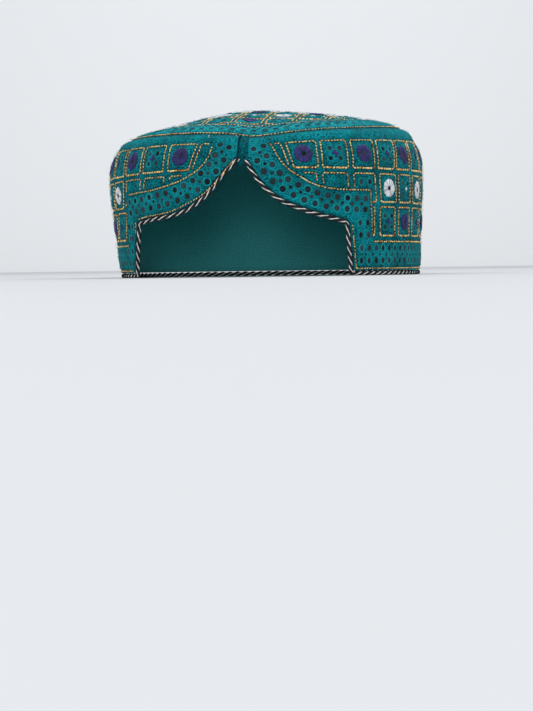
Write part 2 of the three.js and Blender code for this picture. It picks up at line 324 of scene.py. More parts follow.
@dataclass
class EdgeOutline:
    """The lower edge of the cap, unrolled: x is millimetres round the cap and y is the height."""

    form: CapForm
    notch_height: float = 59.8
    step_height: float = 28.0
    right_step: float = 38.6
    left_step: float = 44.4
    right_lean: float = 2.1
    left_lean: float = 5.3
    corner_radius: float = 2.6
    notch_width: float = 4.2
    notch_shift: float = 1.4
    crowding: float = 1.25
    spacing: float = 0.8

    def lobe(self, rows: Sequence[LobePoint], side: int, step: float) -> Array:
        """One lobe from the notch to its step.

        Args:
            rows: the lobe's table.
            side: 1 on the +X side, -1 on the other.
            step: the step's angle.

        Returns:
            Unrolled points.
        """
        start, end = self.notch_width / 2 + side * self.notch_shift, step * self.form.arc
        rise = self.notch_height - self.step_height
        count = int(math.hypot(end - start, rise) / self.spacing)
        share = np.linspace(0, 1, count + 1) ** self.crowding
        height = self.step_height + rise * SmoothTable(rows)(share)
        return np.stack([side * (start + (end - start) * share), height], -1)

    def rounded(self, before: Array, corner: Array, after: Array) -> Array:
        """A corner cut to a small arc.

        Args:
            before: a point on the leg that comes in.
            corner: the sharp corner.
            after: a point on the leg that goes out.

        Returns:
            Points of the arc.
        """
        come, go = unit(corner - before), unit(after - corner)
        bend = math.acos(float(np.clip(come @ go, -1, 1)))
        cut = self.corner_radius * math.tan(bend / 2)
        s = np.linspace(0, 1, 7)[:, None]
        first, last = corner - come * cut, corner + go * cut
        return first * (1 - s) ** 2 + corner * 2 * s * (1 - s) + last * s**2

    def cord_line(self) -> Array:
        """Middle line of the cord from the notch round the back to the notch again."""
        full, arc = FULL_TURN * self.form.arc, self.form.arc
        rim = self.form.cord / 2
        right = self.lobe(RIGHT_LOBE, 1, self.right_step)
        left = self.lobe(LEFT_LOBE, -1, self.left_step)[::-1] + (full, 0)
        right_foot = np.array([(self.right_step + self.right_lean) * arc, rim])
        left_foot = np.array([full - (self.left_step + self.left_lean) * arc, rim])
        corners = [
            self.rounded(right[-3], right[-1], right_foot),
            self.rounded(right[-1], right_foot, left_foot),
            self.rounded(right_foot, left_foot, left[0]),
            self.rounded(left_foot, left[0], left[2]),
        ]
        near_right = right[right[:, 0] < corners[0][0, 0]]
        near_left = left[left[:, 0] > corners[3][-1, 0]]
        return even(np.concatenate([near_right, *corners, near_left]), self.spacing)

    @staticmethod
    def offset(points: Array, distance: float) -> Array:
        """An unrolled line moved sideways towards the cloth."""
        tangent = unit(np.gradient(points, axis=0))
        return points + distance * np.stack([-tangent[:, 1], tangent[:, 0]], -1)


@dataclass
class Relief:
    """Lines and eyelets that press into the cloth, and the height they leave at a point.

    A line leaves a groove, the cloth puffs up between lines, and an eyelet sits in a pit.
    """

    groove_depth: float = 0.34
    groove_reach: float = 0.85
    puff_reach: float = 3.6
    pit_depth: float = 0.5
    pit_margin: float = 0.25
    pit_softness: float = 0.15625

    def __post_init__(self) -> None:
        """Starts with nothing on the cloth."""
        self.lines: list[Array] = []
        self.rounds: list[tuple[Array, Array]] = []
        self.trees: tuple[KDTree, KDTree] | None = None
        self.radii = np.zeros(0)

    def add_line(self, points: Array) -> None:
        """Adds a couched line's points."""
        self.lines.append(points)

    def add_rounds(self, points: Array, radii: Array) -> None:
        """Adds eyelets by their middles and radii."""
        self.rounds.append((points, radii))

    def settle(self) -> None:
        """Sorts everything that was added, ready to be read."""
        lines = np.concatenate(self.lines)
        rounds = np.concatenate([points for points, _ in self.rounds])
        self.radii = np.concatenate([radii for _, radii in self.rounds])
        self.trees = (self.tree(lines), self.tree(rounds))

    @staticmethod
    def tree(points: Array) -> KDTree:
        """A search tree over points."""
        made = KDTree(len(points))
        for i, point in enumerate(points):
            made.insert(point, i)
        made.balance()
        return made

    def height(self, points: Array, padding: float) -> Array:
        """Height of the cloth over its plain face.

        Args:
            points: points on the plain face, one row each.
            padding: how high the cloth stands between lines.

        Returns:
            The height at each, in millimetres.
        """
        lines, rounds = self.trees
        to_line = np.empty(len(points))
        to_round = np.empty(len(points))
        radius = np.empty(len(points))
        for i, point in enumerate(points):
            to_line[i] = lines.find(point)[2]
            _, k, away = rounds.find(point)
            to_round[i], radius[i] = away, self.radii[k]
        groove = -self.groove_depth * np.exp(-((to_line / self.groove_reach) ** 2))
        puff = padding * (1 - np.exp(-((to_line / self.puff_reach) ** 2)))
        past = (to_round - radius - self.pit_margin) / self.pit_softness
        pit = -self.pit_depth / (1 + np.exp(np.clip(past, -30, 30)))
        return groove + puff + pit


class MeshParts:
    """Collects corners and faces of one piece, then makes it."""

    def __init__(self) -> None:
        """Starts empty."""
        self.points: list[Array] = []
        self.uvs: list[Array] = []
        self.tones: list[Array] = []
        self.faces: list[tuple[Array, int]] = []
        self.count = 0

    def add(
        self,
        points: Array,
        faces: Iterable[Array],
        uv: Array | None = None,
        tone: Array | float = 0.5,
        slot: int = 0,
    ) -> None:
        """Adds one body.

        Args:
            points: corners in millimetres.
            faces: arrays of faces, each with one row a face.
            uv: two columns in millimetres, or None where the finish needs none.
            tone: how light the thread is, from 0 to 1, for all corners or each. On the cloth it is painted
                shade from the relief; on the gold it is painted glints.
            slot: which of the piece's materials the faces take.
        """
        points = points.reshape(-1, 3)
        self.points.append(points)
        self.uvs.append(np.zeros((len(points), 2)) if uv is None else uv.reshape(-1, 2))
        self.tones.append(np.broadcast_to(np.asarray(tone, float), (len(points),)))
        for block in faces:
            self.faces.append((np.asarray(block) + self.count, slot))
        self.count += len(points)

    def make(self, name: str, materials: Sequence[Material]) -> Object:
        """Makes the piece.

        Args:
            name: the piece's name.
            materials: its materials, in slot order.

        Returns:
            The new object, in the scene.
        """
        points = np.concatenate(self.points) * MM
        sizes = np.concatenate([np.full(len(b), b.shape[1]) for b, _ in self.faces])
        slots = np.concatenate([np.full(len(b), s) for b, s in self.faces])
        corners = np.concatenate([b.reshape(-1) for b, _ in self.faces]).astype(np.int32)
        starts = np.concatenate([[0], np.cumsum(sizes)[:-1]]).astype(np.int32)
        mesh = bpy.data.meshes.new(name)
        mesh.vertices.add(len(points))
        mesh.vertices.foreach_set("co", points.astype(np.float32).ravel())
        mesh.loops.add(len(corners))
        mesh.loops.foreach_set("vertex_index", corners)
        mesh.polygons.add(len(sizes))
        mesh.polygons.foreach_set("loop_start", starts)
        mesh.polygons.foreach_set("material_index", slots.astype(np.int32))
        mesh.polygons.foreach_set("use_smooth", np.ones(len(sizes), bool))
        layer = mesh.uv_layers.new(name="threads")
        uv = np.concatenate(self.uvs)[corners] * MM
        layer.data.foreach_set("uv", uv.astype(np.float32).ravel())
        tone = mesh.attributes.new("tone", "FLOAT", "POINT")
        tone.data.foreach_set("value", np.concatenate(self.tones).astype(np.float32))
        mesh.update(calc_edges=True)
        mesh.validate()
        for material in materials:
            mesh.materials.append(material)
        log.info("%s: %d triangles", name, int((sizes - 2).sum()))
        return add_object(name, mesh)


def grid_faces(columns: int, rows: int) -> Array:
    """Four-cornered faces of a grid whose points run row by row inside each column."""
    c, r = np.meshgrid(np.arange(columns - 1), np.arange(rows - 1), indexing="ij")
    at = (c * rows + r).ravel()
    return np.stack([at, at + rows, at + rows + 1, at + 1], -1)


def bridge(fine: Array, coarse: Array) -> Array:
    """Triangles between two edges with different numbers of points.

    Args:
        fine: the finer edge's corners, in order.
        coarse: the coarser edge's corners, in the same direction.

    Returns:
        One row for each triangle.
    """
    out, i, j = [], 0, 0
    while i < len(fine) - 1 or j < len(coarse) - 1:
        ahead = (i + 1) / (len(fine) - 1) if i < len(fine) - 1 else 2
        behind = (j + 1) / (len(coarse) - 1) if j < len(coarse) - 1 else 2
        if ahead <= behind:
            out.append((fine[i], coarse[j], fine[i + 1]))
            i += 1
        else:
            out.append((fine[i], coarse[j], coarse[j + 1]))
            j += 1
    return np.array(out)


def shell(outer: Array, inner: Array, uv: Array, tone: Array, ratio: int, parts: MeshParts) -> None:
    """Adds a closed cloth wall with a fine outer face and a coarser inner one.

    Args:
        outer: grid of points, [column, row, xyz].
        inner: the inner face's grid, with every ratio-th point of the outer one.
        uv: unrolled places of the outer grid.
        tone: how high each outer point stands, 0 in the deepest grooves; the material paints the low places
            darker as shade.
        ratio: how many outer steps one inner step spans.
        parts: where the wall goes. Its second material is the inner face.
    """
    columns, rows = outer.shape[:2]
    wide, high = inner.shape[:2]
    base = columns * rows
    fine = np.arange(base).reshape(columns, rows)
    coarse = base + np.arange(wide * high).reshape(wide, high)
    points = np.concatenate([outer.reshape(-1, 3), inner.reshape(-1, 3)])
    places = np.concatenate([uv.reshape(-1, 2), uv[::ratio, ::ratio].reshape(-1, 2)])
    rims = [
        bridge(fine[:, 0], coarse[:, 0]),
        bridge(fine[::-1, -1], coarse[::-1, -1]),
        bridge(fine[0, ::-1], coarse[0, ::-1]),
        bridge(fine[-1], coarse[-1]),
    ]
    start = parts.count
    tones = np.concatenate([tone.ravel(), np.full(wide * high, 0.5)])
    parts.add(points, [grid_faces(columns, rows)], places, tones)
    back = grid_faces(wide, high)[:, ::-1] + base
    parts.faces.append((back + start, 1))
    parts.faces.extend((block + start, 0) for block in rims)


def rough_noise(points: Array, size: float, seed: int) -> Array:
    """Smooth waves with no direction, for soft unevenness.

    Args:
        points: places in millimetres, one row each.
        size: the waves' length in millimetres.
        seed: picks the waves.

    Returns:
        Values from about -1 to 1.
    """
    waves = 9
    rng = np.random.default_rng(seed)
    total = np.zeros(len(points))
    for _ in range(waves):
        way = unit(rng.normal(size=3)) * 2 * math.pi / (size * rng.uniform(0.7, 1.6))
        total += np.sin(points @ way + rng.uniform(0, 2 * math.pi))
    return total * 2 / waves


def add_object(name: str, data: bpy.types.ID) -> Object:
    """A new object in the scene."""
    made = bpy.data.objects.new(name, data)
    bpy.context.scene.collection.objects.link(made)
    return made


def linear(code: str) -> tuple[float, float, float, float]:
    """An sRGB hex colour as linear values with full cover."""
    values = [int(code[i : i + 2], 16) / 255 for i in (1, 3, 5)]
    flat = [v / 12.92 if v <= 0.04045 else ((v + 0.055) / 1.055) ** 2.4 for v in values]
    return (*flat, 1.0)


def add_node(
    tree: NodeTree,
    kind: str,
    settings: dict | None = None,
    inputs: dict | None = None,
    stops: Sequence[tuple[float, str]] = (),
) -> Node:
    """Adds a node with its settings, values and links.

    Args:
        tree: the material's node tree.
        kind: the node's type name.
        settings: the node's own properties.
        inputs: for each input's name or number, a value or the socket that feeds it.
        stops: a colour ramp's rows of a place from 0 to 1 and an sRGB hex colour.

    Returns:
        The new node.
    """
    node = tree.nodes.new(kind)
    for key, value in (settings or {}).items():
        setattr(node, key, value)
    for key, value in (inputs or {}).items():
        socket = node.inputs[key]
        if isinstance(value, NodeSocket):
            tree.links.new(value, socket)
        else:
            socket.default_value = value
    for number, (place, code) in enumerate(stops):
        elements = node.color_ramp.elements
        element = elements[number] if number < len(elements) else elements.new(place)
        element.position = place
        element.color = linear(code)
    return node


def new_material(name: str) -> tuple[Material, NodeTree]:
    """An empty material and its node tree."""
    material = bpy.data.materials.new(name)
    material.use_nodes = True
    material.node_tree.nodes.clear()
    return material, material.node_tree


def close_material(tree: NodeTree, inputs: dict) -> None:
    """Adds the surface shader with its values and links it to the output."""
    shader = add_node(tree, "ShaderNodeBsdfPrincipled", {}, inputs)
    add_node(tree, "ShaderNodeOutputMaterial", {}, {"Surface": shader.outputs[0]})


def close_thread(
    tree: NodeTree,
    pattern: NodeSocket,
    weight: float,
    stops: Sequence[tuple[float, str]],
    relief: tuple[float, float],
    inputs: dict,
) -> None:
    """Shades a thread by its own tone and a fine pattern, and closes the material.

    Args:
        tree: the material's node tree.
        pattern: the fine pattern, about 0.5 on the whole.
        weight: how much the pattern lightens and darkens the thread.
        stops: the colour ramp's rows.
        relief: the bump's strength and its depth in millimetres.
        inputs: the surface shader's values.
    """
    tone = add_node(tree, "ShaderNodeAttribute", {"attribute_name": "tone"}).outputs["Fac"]
    tone = add_node(tree, "ShaderNodeMath", {"operation": "MULTIPLY_ADD"},
                    {0: pattern, 1: weight, 2: tone}).outputs[0]
    tone = add_node(tree, "ShaderNodeMath", {"operation": "SUBTRACT"}, {0: tone, 1: weight / 2}).outputs[0]
    colour = add_node(tree, "ShaderNodeValToRGB", {}, {0: tone}, stops).outputs["Color"]
    bump = add_node(tree, "ShaderNodeBump", {}, {
        "Strength": relief[0], "Distance": relief[1] * MM, "Height": pattern}).outputs[0]
    close_material(tree, {"Base Color": colour, "Normal": bump, **inputs})


@dataclass(frozen=True)
class StitchedCotton:
    """Woven cotton filled edge to edge with short machine stitches: matt, pebbled, softly mottled."""

    name: str
    light: str
    middle: str
    dark: str
    stitch_length: float = 1.5
    stitch_width: float = 0.5
    stitch_turns: tuple[float, float] = (0.5, -0.7)
    drift: float = 5.5
    drift_reach: float = 3.4
    patch: float = 2.6
    cloud: float = 17.0
    fibre: float = 0.16
    fibre_depth: float = 0.06
    depth: float = 0.24

    def material(self) -> Material:
        """Makes the material. Patterns are in metres of cloth, so scales are one over a real size.

        Stitches are stretched cells that run two ways, in patches, and bend as the needle drifts.
        Their height paints shade in the gaps between stitches, and the cloth's own relief, read from the tone
        attribute, paints shade in grooves, pits, the tuck and the seam's dip; the fibres and a cloudy wear
        also set how light they are.
        """
        material, tree = new_material(self.name)
        place = add_node(tree, "ShaderNodeTexCoord").outputs["UV"]
        noises = []
        for size, detail in ((self.drift, 1.0), (self.patch, 2.0), (self.fibre, 2.0), (self.cloud, 2.0)):
            noises.append(add_node(tree, "ShaderNodeTexNoise", {"noise_dimensions": "2D"},
                                   {"Vector": place, "Scale": 1 / (size * MM), "Detail": detail}))
        drift = noises[0].outputs["Color"]
        patch, fuzz, cloudy = [noise.outputs[0] for noise in noises[1:]]
        shift = add_node(tree, "ShaderNodeVectorMath", {"operation": "SUBTRACT"},
                         {0: drift, 1: (0.5, 0.5, 0.5)}).outputs[0]
        warp = add_node(tree, "ShaderNodeVectorMath", {"operation": "MULTIPLY_ADD"},
                        {0: shift, 1: (self.drift_reach * MM, self.drift_reach * MM, 0),
                         2: place}).outputs[0]
        stitches = []
        for turn in self.stitch_turns:
            mapped = add_node(tree, "ShaderNodeMapping", {"vector_type": "POINT"}, {
                "Vector": warp,
                "Rotation": (0, 0, turn),
                "Scale": (1 / (self.stitch_length * MM), 1 / (self.stitch_width * MM), 1),
            }).outputs[0]
            stitches.append(add_node(tree, "ShaderNodeTexVoronoi", {
                "voronoi_dimensions": "2D", "feature": "F1",
            }, {"Vector": mapped, "Scale": 1.0, "Randomness": 0.85}))
        pick = add_node(tree, "ShaderNodeMapRange", {"interpolation_type": "SMOOTHSTEP"},
                        {0: patch, 1: 0.47, 2: 0.53}).outputs[0]
        lift = add_node(tree, "ShaderNodeMix", {"data_type": "FLOAT"}, {
            0: pick, 2: stitches[0].outputs["Distance"], 3: stitches[1].outputs["Distance"],
        }).outputs[0]
        # The stitches' height also sets their lightness, so the gaps between stitches are painted darker as
        # shade.
        height = add_node(tree, "ShaderNodeMapRange", {},
                          {0: lift, 1: 0.05, 2: 0.75, 3: 1.0, 4: 0.0}).outputs[0]
        # Painted shade from the cloth's relief: grooves, pits, the tuck and the seam's dip come out darker.
        raised = add_node(tree, "ShaderNodeAttribute", {"attribute_name": "tone"}).outputs["Fac"]
        tone = -0.42
        for part, weight in ((height, 0.62), (fuzz, 0.4), (cloudy, 0.3), (raised, 0.34)):
            tone = add_node(tree, "ShaderNodeMath", {"operation": "MULTIPLY_ADD"},
                            {0: part, 1: weight, 2: tone}).outputs[0]
        colour = add_node(tree, "ShaderNodeValToRGB", {}, {0: tone}, (
            (0.24, self.dark), (0.46, self.middle), (0.69, self.light))).outputs["Color"]
        low = add_node(tree, "ShaderNodeBump", {}, {
            "Strength": 0.9, "Distance": self.depth * MM, "Height": height}).outputs[0]
        bump = add_node(tree, "ShaderNodeBump", {}, {
            "Strength": 0.5, "Distance": self.fibre_depth * MM, "Height": fuzz, "Normal": low}).outputs[0]
        close_material(tree, {
            "Base Color": colour, "Roughness": 0.9, "IOR": 1.53, "Specular IOR Level": 0.06,
            "Sheen Weight": 0.04, "Sheen Roughness": 0.45, "Sheen Tint": linear("#7FD0D2"), "Normal": bump,
        })
        return material


@dataclass(frozen=True)
class PlainCotton:
    """Plain woven cotton: matt, with a fine even weave."""

    name: str
    light: str
    dark: str
    thread: float = 0.84
    fuzz: float = 0.9
    depth: float = 0.12

    def material(self) -> Material:
        """Makes the material. The weave is drawn a little coarser than the real one so that it shows."""
        material, tree = new_material(self.name)
        place = add_node(tree, "ShaderNodeTexCoord").outputs["UV"]
        # A wave texture's band is a turn over 20 times its scale
        weave_scale = 2 * math.pi / (20 * self.thread * MM)
        waves = []
        for turn in ("X", "Y"):
            waves.append(add_node(tree, "ShaderNodeTexWave", {"bands_direction": turn}, {
                "Vector": place, "Scale": weave_scale, "Distortion": 0.4, "Detail": 1.0}).outputs["Fac"])
        weave = add_node(tree, "ShaderNodeMath", {"operation": "MULTIPLY"},
                         {0: waves[0], 1: waves[1]}).outputs[0]
        fuzz = add_node(tree, "ShaderNodeTexNoise", {"noise_dimensions": "2D"},
                        {"Vector": place, "Scale": 1 / (self.fuzz * MM), "Detail": 3.0}).outputs[0]
        tone = add_node(tree, "ShaderNodeMath", {"operation": "MULTIPLY_ADD"},
                        {0: weave, 1: 0.4, 2: fuzz}).outputs[0]
        stops = ((0.25, self.dark), (0.85, self.light))
        colour = add_node(tree, "ShaderNodeValToRGB", {}, {0: tone}, stops).outputs["Color"]
        bump = add_node(tree, "ShaderNodeBump", {}, {
            "Strength": 0.6, "Distance": self.depth * MM, "Height": tone}).outputs[0]
        close_material(tree, {
            "Base Color": colour, "Roughness": 0.88, "IOR": 1.53, "Specular IOR Level": 0.2,
            "Sheen Weight": 0.15, "Sheen Roughness": 0.5, "Normal": bump,
        })
        return material


@dataclass(frozen=True)
class MetallicThread:
    """Cotton core wrapped in metallised film: each wrap is coloured between pale gold and dark amber, as
    painted glints and painted shade.
    """

    name: str
    painted_glint: str
    middle: str
    dark: str
    metallic: float = 0.45
    roughness: float = 0.38
    flake: float = 0.35
    depth: float = 0.05

    def material(self) -> Material:
        """Makes the material."""
        material, tree = new_material(self.name)
        place = add_node(tree, "ShaderNodeTexCoord").outputs["Object"]
        flake = add_node(tree, "ShaderNodeTexNoise", {},
                         {"Vector": place, "Scale": 1 / (self.flake * MM), "Detail": 1.0}).outputs[0]
        stops = ((0.1, self.dark), (0.5, self.middle), (0.88, self.painted_glint))
        close_thread(tree, flake, 0.5, stops, (0.5, self.depth),
                     {"Metallic": self.metallic, "Roughness": self.roughness})
        return material


@dataclass(frozen=True)
class SilkFloss:
    """Untwisted silk laid in satin stitch: soft directional gloss and fine lengthwise threads."""

    name: str
    light: str
    middle: str
    dark: str
    thread: float = 0.22
    thread_length: float = 2.8
    depth: float = 0.09
    sheen: str = "#FFFFFF"
    streak: float = 0.55

    def material(self) -> Material:
        """Makes the material. The UVs run round the motif on u and along the threads on v."""
        material, tree = new_material(self.name)
        place = add_node(tree, "ShaderNodeTexCoord").outputs["UV"]
        mapped = add_node(tree, "ShaderNodeMapping", {}, {
            "Vector": place,
            "Scale": (1 / (self.thread * MM), 1 / (self.thread_length * MM), 1)}).outputs[0]
        strand = add_node(tree, "ShaderNodeTexNoise", {"noise_dimensions": "2D"},
                          {"Vector": mapped, "Scale": 1.0, "Detail": 1.0}).outputs[0]
        stops = ((0.1, self.dark), (0.5, self.middle), (0.9, self.light))
        close_thread(tree, strand, self.streak, stops, (0.6, self.depth), {
            "Roughness": 0.5, "IOR": 1.54, "Specular IOR Level": 0.3,
            "Sheen Weight": 0.12, "Sheen Roughness": 0.35, "Sheen Tint": linear(self.sheen),
        })
        return material


@dataclass(frozen=True)
class CottonThread:
    """Mercerised cotton thread: matt to satin, with a fine twist."""

    name: str
    light: str
    dark: str
    roughness: float = 0.7
    fibre: float = 0.25
    depth: float = 0.07

    def material(self) -> Material:
        """Makes the material."""
        material, tree = new_material(self.name)
        place = add_node(tree, "ShaderNodeTexCoord").outputs["Object"]
        fuzz = add_node(tree, "ShaderNodeTexNoise", {},
                        {"Vector": place, "Scale": 1 / (self.fibre * MM), "Detail": 2.0}).outputs[0]
        close_thread(tree, fuzz, 0.6, ((0.1, self.dark), (0.9, self.light)), (0.6, self.depth), {
            "Roughness": self.roughness, "IOR": 1.53, "Specular IOR Level": 0.12,
            "Sheen Weight": 0.05, "Sheen Roughness": 0.4,
        })
        return material


class Chart:
    """A flat chart of part of the cap: u and v in millimetres on the cloth. The puff is its padding."""

    puff: float

    def at(self, u: Array, v: Array) -> tuple[Array, Array]:
        """Points and normals of the cloth's plain face at places on the chart."""
        raise NotImplementedError

    def axes(self, u: Array, v: Array) -> tuple[Array, ...]:
        """Points, both directions along the cloth with their stretch, and normals."""
        step = 0.3
        points, normals = self.at(u, v)
        across = (self.at(u + step, v)[0] - self.at(u - step, v)[0]) / (2 * step)
        along = (self.at(u, v + step)[0] - self.at(u, v - step)[0]) / (2 * step)
        return points, across, along, normals


@dataclass
class BandChart(Chart):
    """The side band unrolled: u runs round the cap from the front, v is the height over the rim."""

    form: CapForm
    plain: bool = False
    left_squash: float = 0.045
    squash_power: float = 5.0
    sag_from: float = 54.0
    puff: float = 0.42

    def place(self, u: Array, v: Array) -> tuple[Array, Array]:
        """Where a place on the chart lies on the wall.

        Args:
            u: millimetres round the cap from the front.
            v: height; on a chart that isn't plain, as it would be on the +X side.

        Returns:
            Millimetres round the cap and height over the rim.
        """
        u, v = np.broadcast_arrays(np.asarray(u, float), np.asarray(v, float))
        angle = u / self.form.arc
        height = v
        if not self.plain:
            full = float(self.form.seam(90))
            squash = self.left_squash * ((1 - np.sin(np.radians(angle))) / 2) ** self.squash_power
            sag = np.clip((v - self.sag_from) / (full - self.sag_from), 0, 1) ** 1.5
            height = v * (1 - squash) + (self.form.seam(angle) - full * (1 - squash)) * sag
        return u, height

    def at(self, u: Array, v: Array) -> tuple[Array, Array]:
        """Points and normals on the wall."""
        x, height = self.place(u, v)
        angle = x / self.form.arc
        t = height / self.form.seam(angle)
        return self.form.point(angle, t), self.form.normal(angle, t)


@dataclass
class CrownChart(Chart):
    """The crown from above: u is x and v is y."""

    form: CapForm
    puff: float = 0.7

    def at(self, u: Array, v: Array) -> tuple[Array, Array]:
        """Points and normals of the crown over places in plan."""
        return self.form.crown_at(*np.broadcast_arrays(np.asarray(u, float), np.asarray(v, float)))


@dataclass
class Stroke:
    """One couched gold line on a chart, with its width at each point."""

    chart: Chart
    path: Array
    width: Array


@dataclass
class Eyelets:
    """Stitched eyelets on a chart, some of them taller than they are wide."""

    chart: Chart
    places: Array
    radii: Array
    tall: float = 1.0
    ringed: bool = True


class Floss(Enum):
    """Colours of silk for rosettes and small centres."""

    PURPLE = "purple"
    WHITE = "white"
    GOLD = "gold"


@dataclass
class Motif:
    """A rosette or a small cross at a place on a chart."""

    chart: Chart
    place: tuple[float, float]
    radius: float
    floss: Floss


class SquareRow(NamedTuple):
    """One row of gold squares on the side band, and the room left between two of them.

    A square's sides lean away from the front by right_lean or left_lean degrees for each millimetre up.
    """

    bottom: float
    top: float
    gap: float
    floss: Floss
    rosette: float
    right_lean: float
    left_lean: float


class TopLean(NamedTuple):
    """How much more the top row's sides lean at an angle from the front, in degrees a millimetre."""

    angle: float
    lean: float


class ColumnAngle(NamedTuple):
    """Angle from the front of the middle of one column of squares; those between are even."""

    column: int
    angle: float


class WallPlace(NamedTuple):
    """A place on the wall: degrees from the front and millimetres over the rim."""

    angle: float
    height: float


SQUARE_ROWS = (
    SquareRow(56.3, 72.8, 2.8, Floss.PURPLE, 5.0, 0.0, 0.03),
    SquareRow(38.7, 53.4, 3.7, Floss.WHITE, 4.8, -0.07, -0.16),
    SquareRow(20.9, 36.0, 4.3, Floss.PURPLE, 4.7, -0.01, -0.2),
)
TOP_LEANS = table(
    TopLean, (0, -0.22), (17, -0.16), (27, 0.0), (40, 0.035), (52, 0.1), (64, 0.2), (90, 0.1),
    (180, 0.0),
)
COLUMN_ANGLES = table(
    ColumnAngle, (-1, 10.9), (0, 22.4), (1, 34.0), (2, 45.9), (3, 57.3), (4, 68.0), (24, 290.8),
    (25, 302.1), (26, 313.7), (27, 325.5), (28, 337.8), (29, 349.3),
)
RIGHT_FIELD_EDGE = table(
    WallPlace, (10.8, 69.0), (11.6, 67.0), (14.1, 60.0), (17.4, 54.7), (20.7, 51.6), (24.9, 48.0),
    (29.5, 46.0), (35.1, 45.0), (48.2, 44.7),
)
LEFT_FIELD_EDGE = table(
    WallPlace, (10.2, 67.8), (10.9, 63.5), (12.6, 59.0), (15.6, 54.9), (19.2, 52.0), (23.3, 49.7),
    (29.6, 47.5), (35.7, 46.1), (49.2, 44.6),
)
LEFT_LOBE_LINE = table(
    WallPlace, (1.8, 60.7), (5.4, 53.9), (8.0, 49.6), (12.5, 43.5), (17.7, 39.4), (23.7, 35.9),
    (28.1, 34.2), (34.0, 33.1), (38.6, 32.4), (43.5, 31.3),
)
RIGHT_EYELET_LINE = table(
    WallPlace, (6.7, 66.5), (7.7, 61.4), (9.7, 56.3), (12.2, 51.7), (15.5, 47.7), (22.6, 42.2),
    (30.6, 38.8), (38.4, 37.6), (47.0, 37.3),
)
LEFT_EYELET_LINE = table(
    WallPlace, (5.6, 67.7), (6.8, 62.2), (9.2, 56.6), (13.1, 50.6), (17.3, 46.4), (22.6, 43.4),
    (28.0, 41.4), (36.7, 39.6), (45.7, 38.0), (50.0, 37.6),
)


@dataclass(frozen=True)
class FrontSide:
    """What differs between the two sides of the front.

    The sign is 1 on the +X side. The lobe's eyelets go in pairs across the eyelet line, pair_pitch
    apart. The flap's two columns start at flap_reach millimetres from the front, flap_pitch apart.
    """

    sign: int
    edge: tuple[WallPlace, ...]
    eyelet_line: tuple[WallPlace, ...]
    field_side: float
    lower_start: float
    pair_pitch: float
    flap_reach: float
    flap_pitch: float


FRONT_SIDES = (
    FrontSide(1, RIGHT_FIELD_EDGE, RIGHT_EYELET_LINE, 48.4, 50.1, 6.16, 68.6, 5.4),
    FrontSide(-1, LEFT_FIELD_EDGE, LEFT_EYELET_LINE, 51.0, 53.1, 6.6, 75.9, 3.8),
)


# Places in a square: its four dots, and points round its rosette
DOT_CORNERS = np.array([(-1, 1), (1, 1), (-1, -1), (1, -1)])
ROUND = circle(np.linspace(0, 2 * math.pi, 12), 1.0, 0.0)[:, :2]


def rounded_square(half_u: float, half_v: float, corner: float) -> Array:
    """A closed square with rounded corners, round its middle, starting at the middle of the top."""
    points = []
    for turn, (su, sv) in enumerate(((1, 1), (1, -1), (-1, -1), (-1, 1))):
        middle = np.array([su * (half_u - corner), sv * (half_v - corner)])
        for k in range(4):
            a = math.pi / 2 - turn * math.pi / 2 - k * math.pi / 6
            points.append(middle + corner * np.array([math.cos(a), math.sin(a)]))
    start = np.array([[0.0, half_v]])
    return even(np.concatenate([start, np.array(points), start]), LINE_STEP)


def runs(keep: Array) -> list[Array]:
    """Unbroken runs of kept places, by index."""
    where = np.flatnonzero(keep)
    if len(where) == 0:
        return []
    return np.split(where, np.flatnonzero(np.diff(where) > 1) + 1)


@dataclass
class Pattern:
    """Everything that is embroidered on one part of the cap, in chart places."""

    form: CapForm

    def __post_init__(self) -> None:
        """Starts with nothing drawn."""
        self.strokes: list[Stroke] = []
        self.eyelets: list[Eyelets] = []
        self.motifs: list[Motif] = []

    def add_stroke(self, chart: Chart, path: Array, width: float | Array) -> None:
        """Adds a gold line.

        Args:
            chart: the chart it lies on.
            path: its places.
            width: its width, for the whole line or each place.
        """
        full = np.broadcast_to(np.asarray(width, float), (len(path),))
        self.strokes.append(Stroke(chart, path, full))

    def add_eyelets(
        self, chart: Chart, places: Array, radius: float, tall: float = 1.0, ringed: bool = True
    ) -> None:
        """Adds eyelets of one size."""
        self.eyelets.append(Eyelets(chart, places, np.full(len(places), radius), tall, ringed))


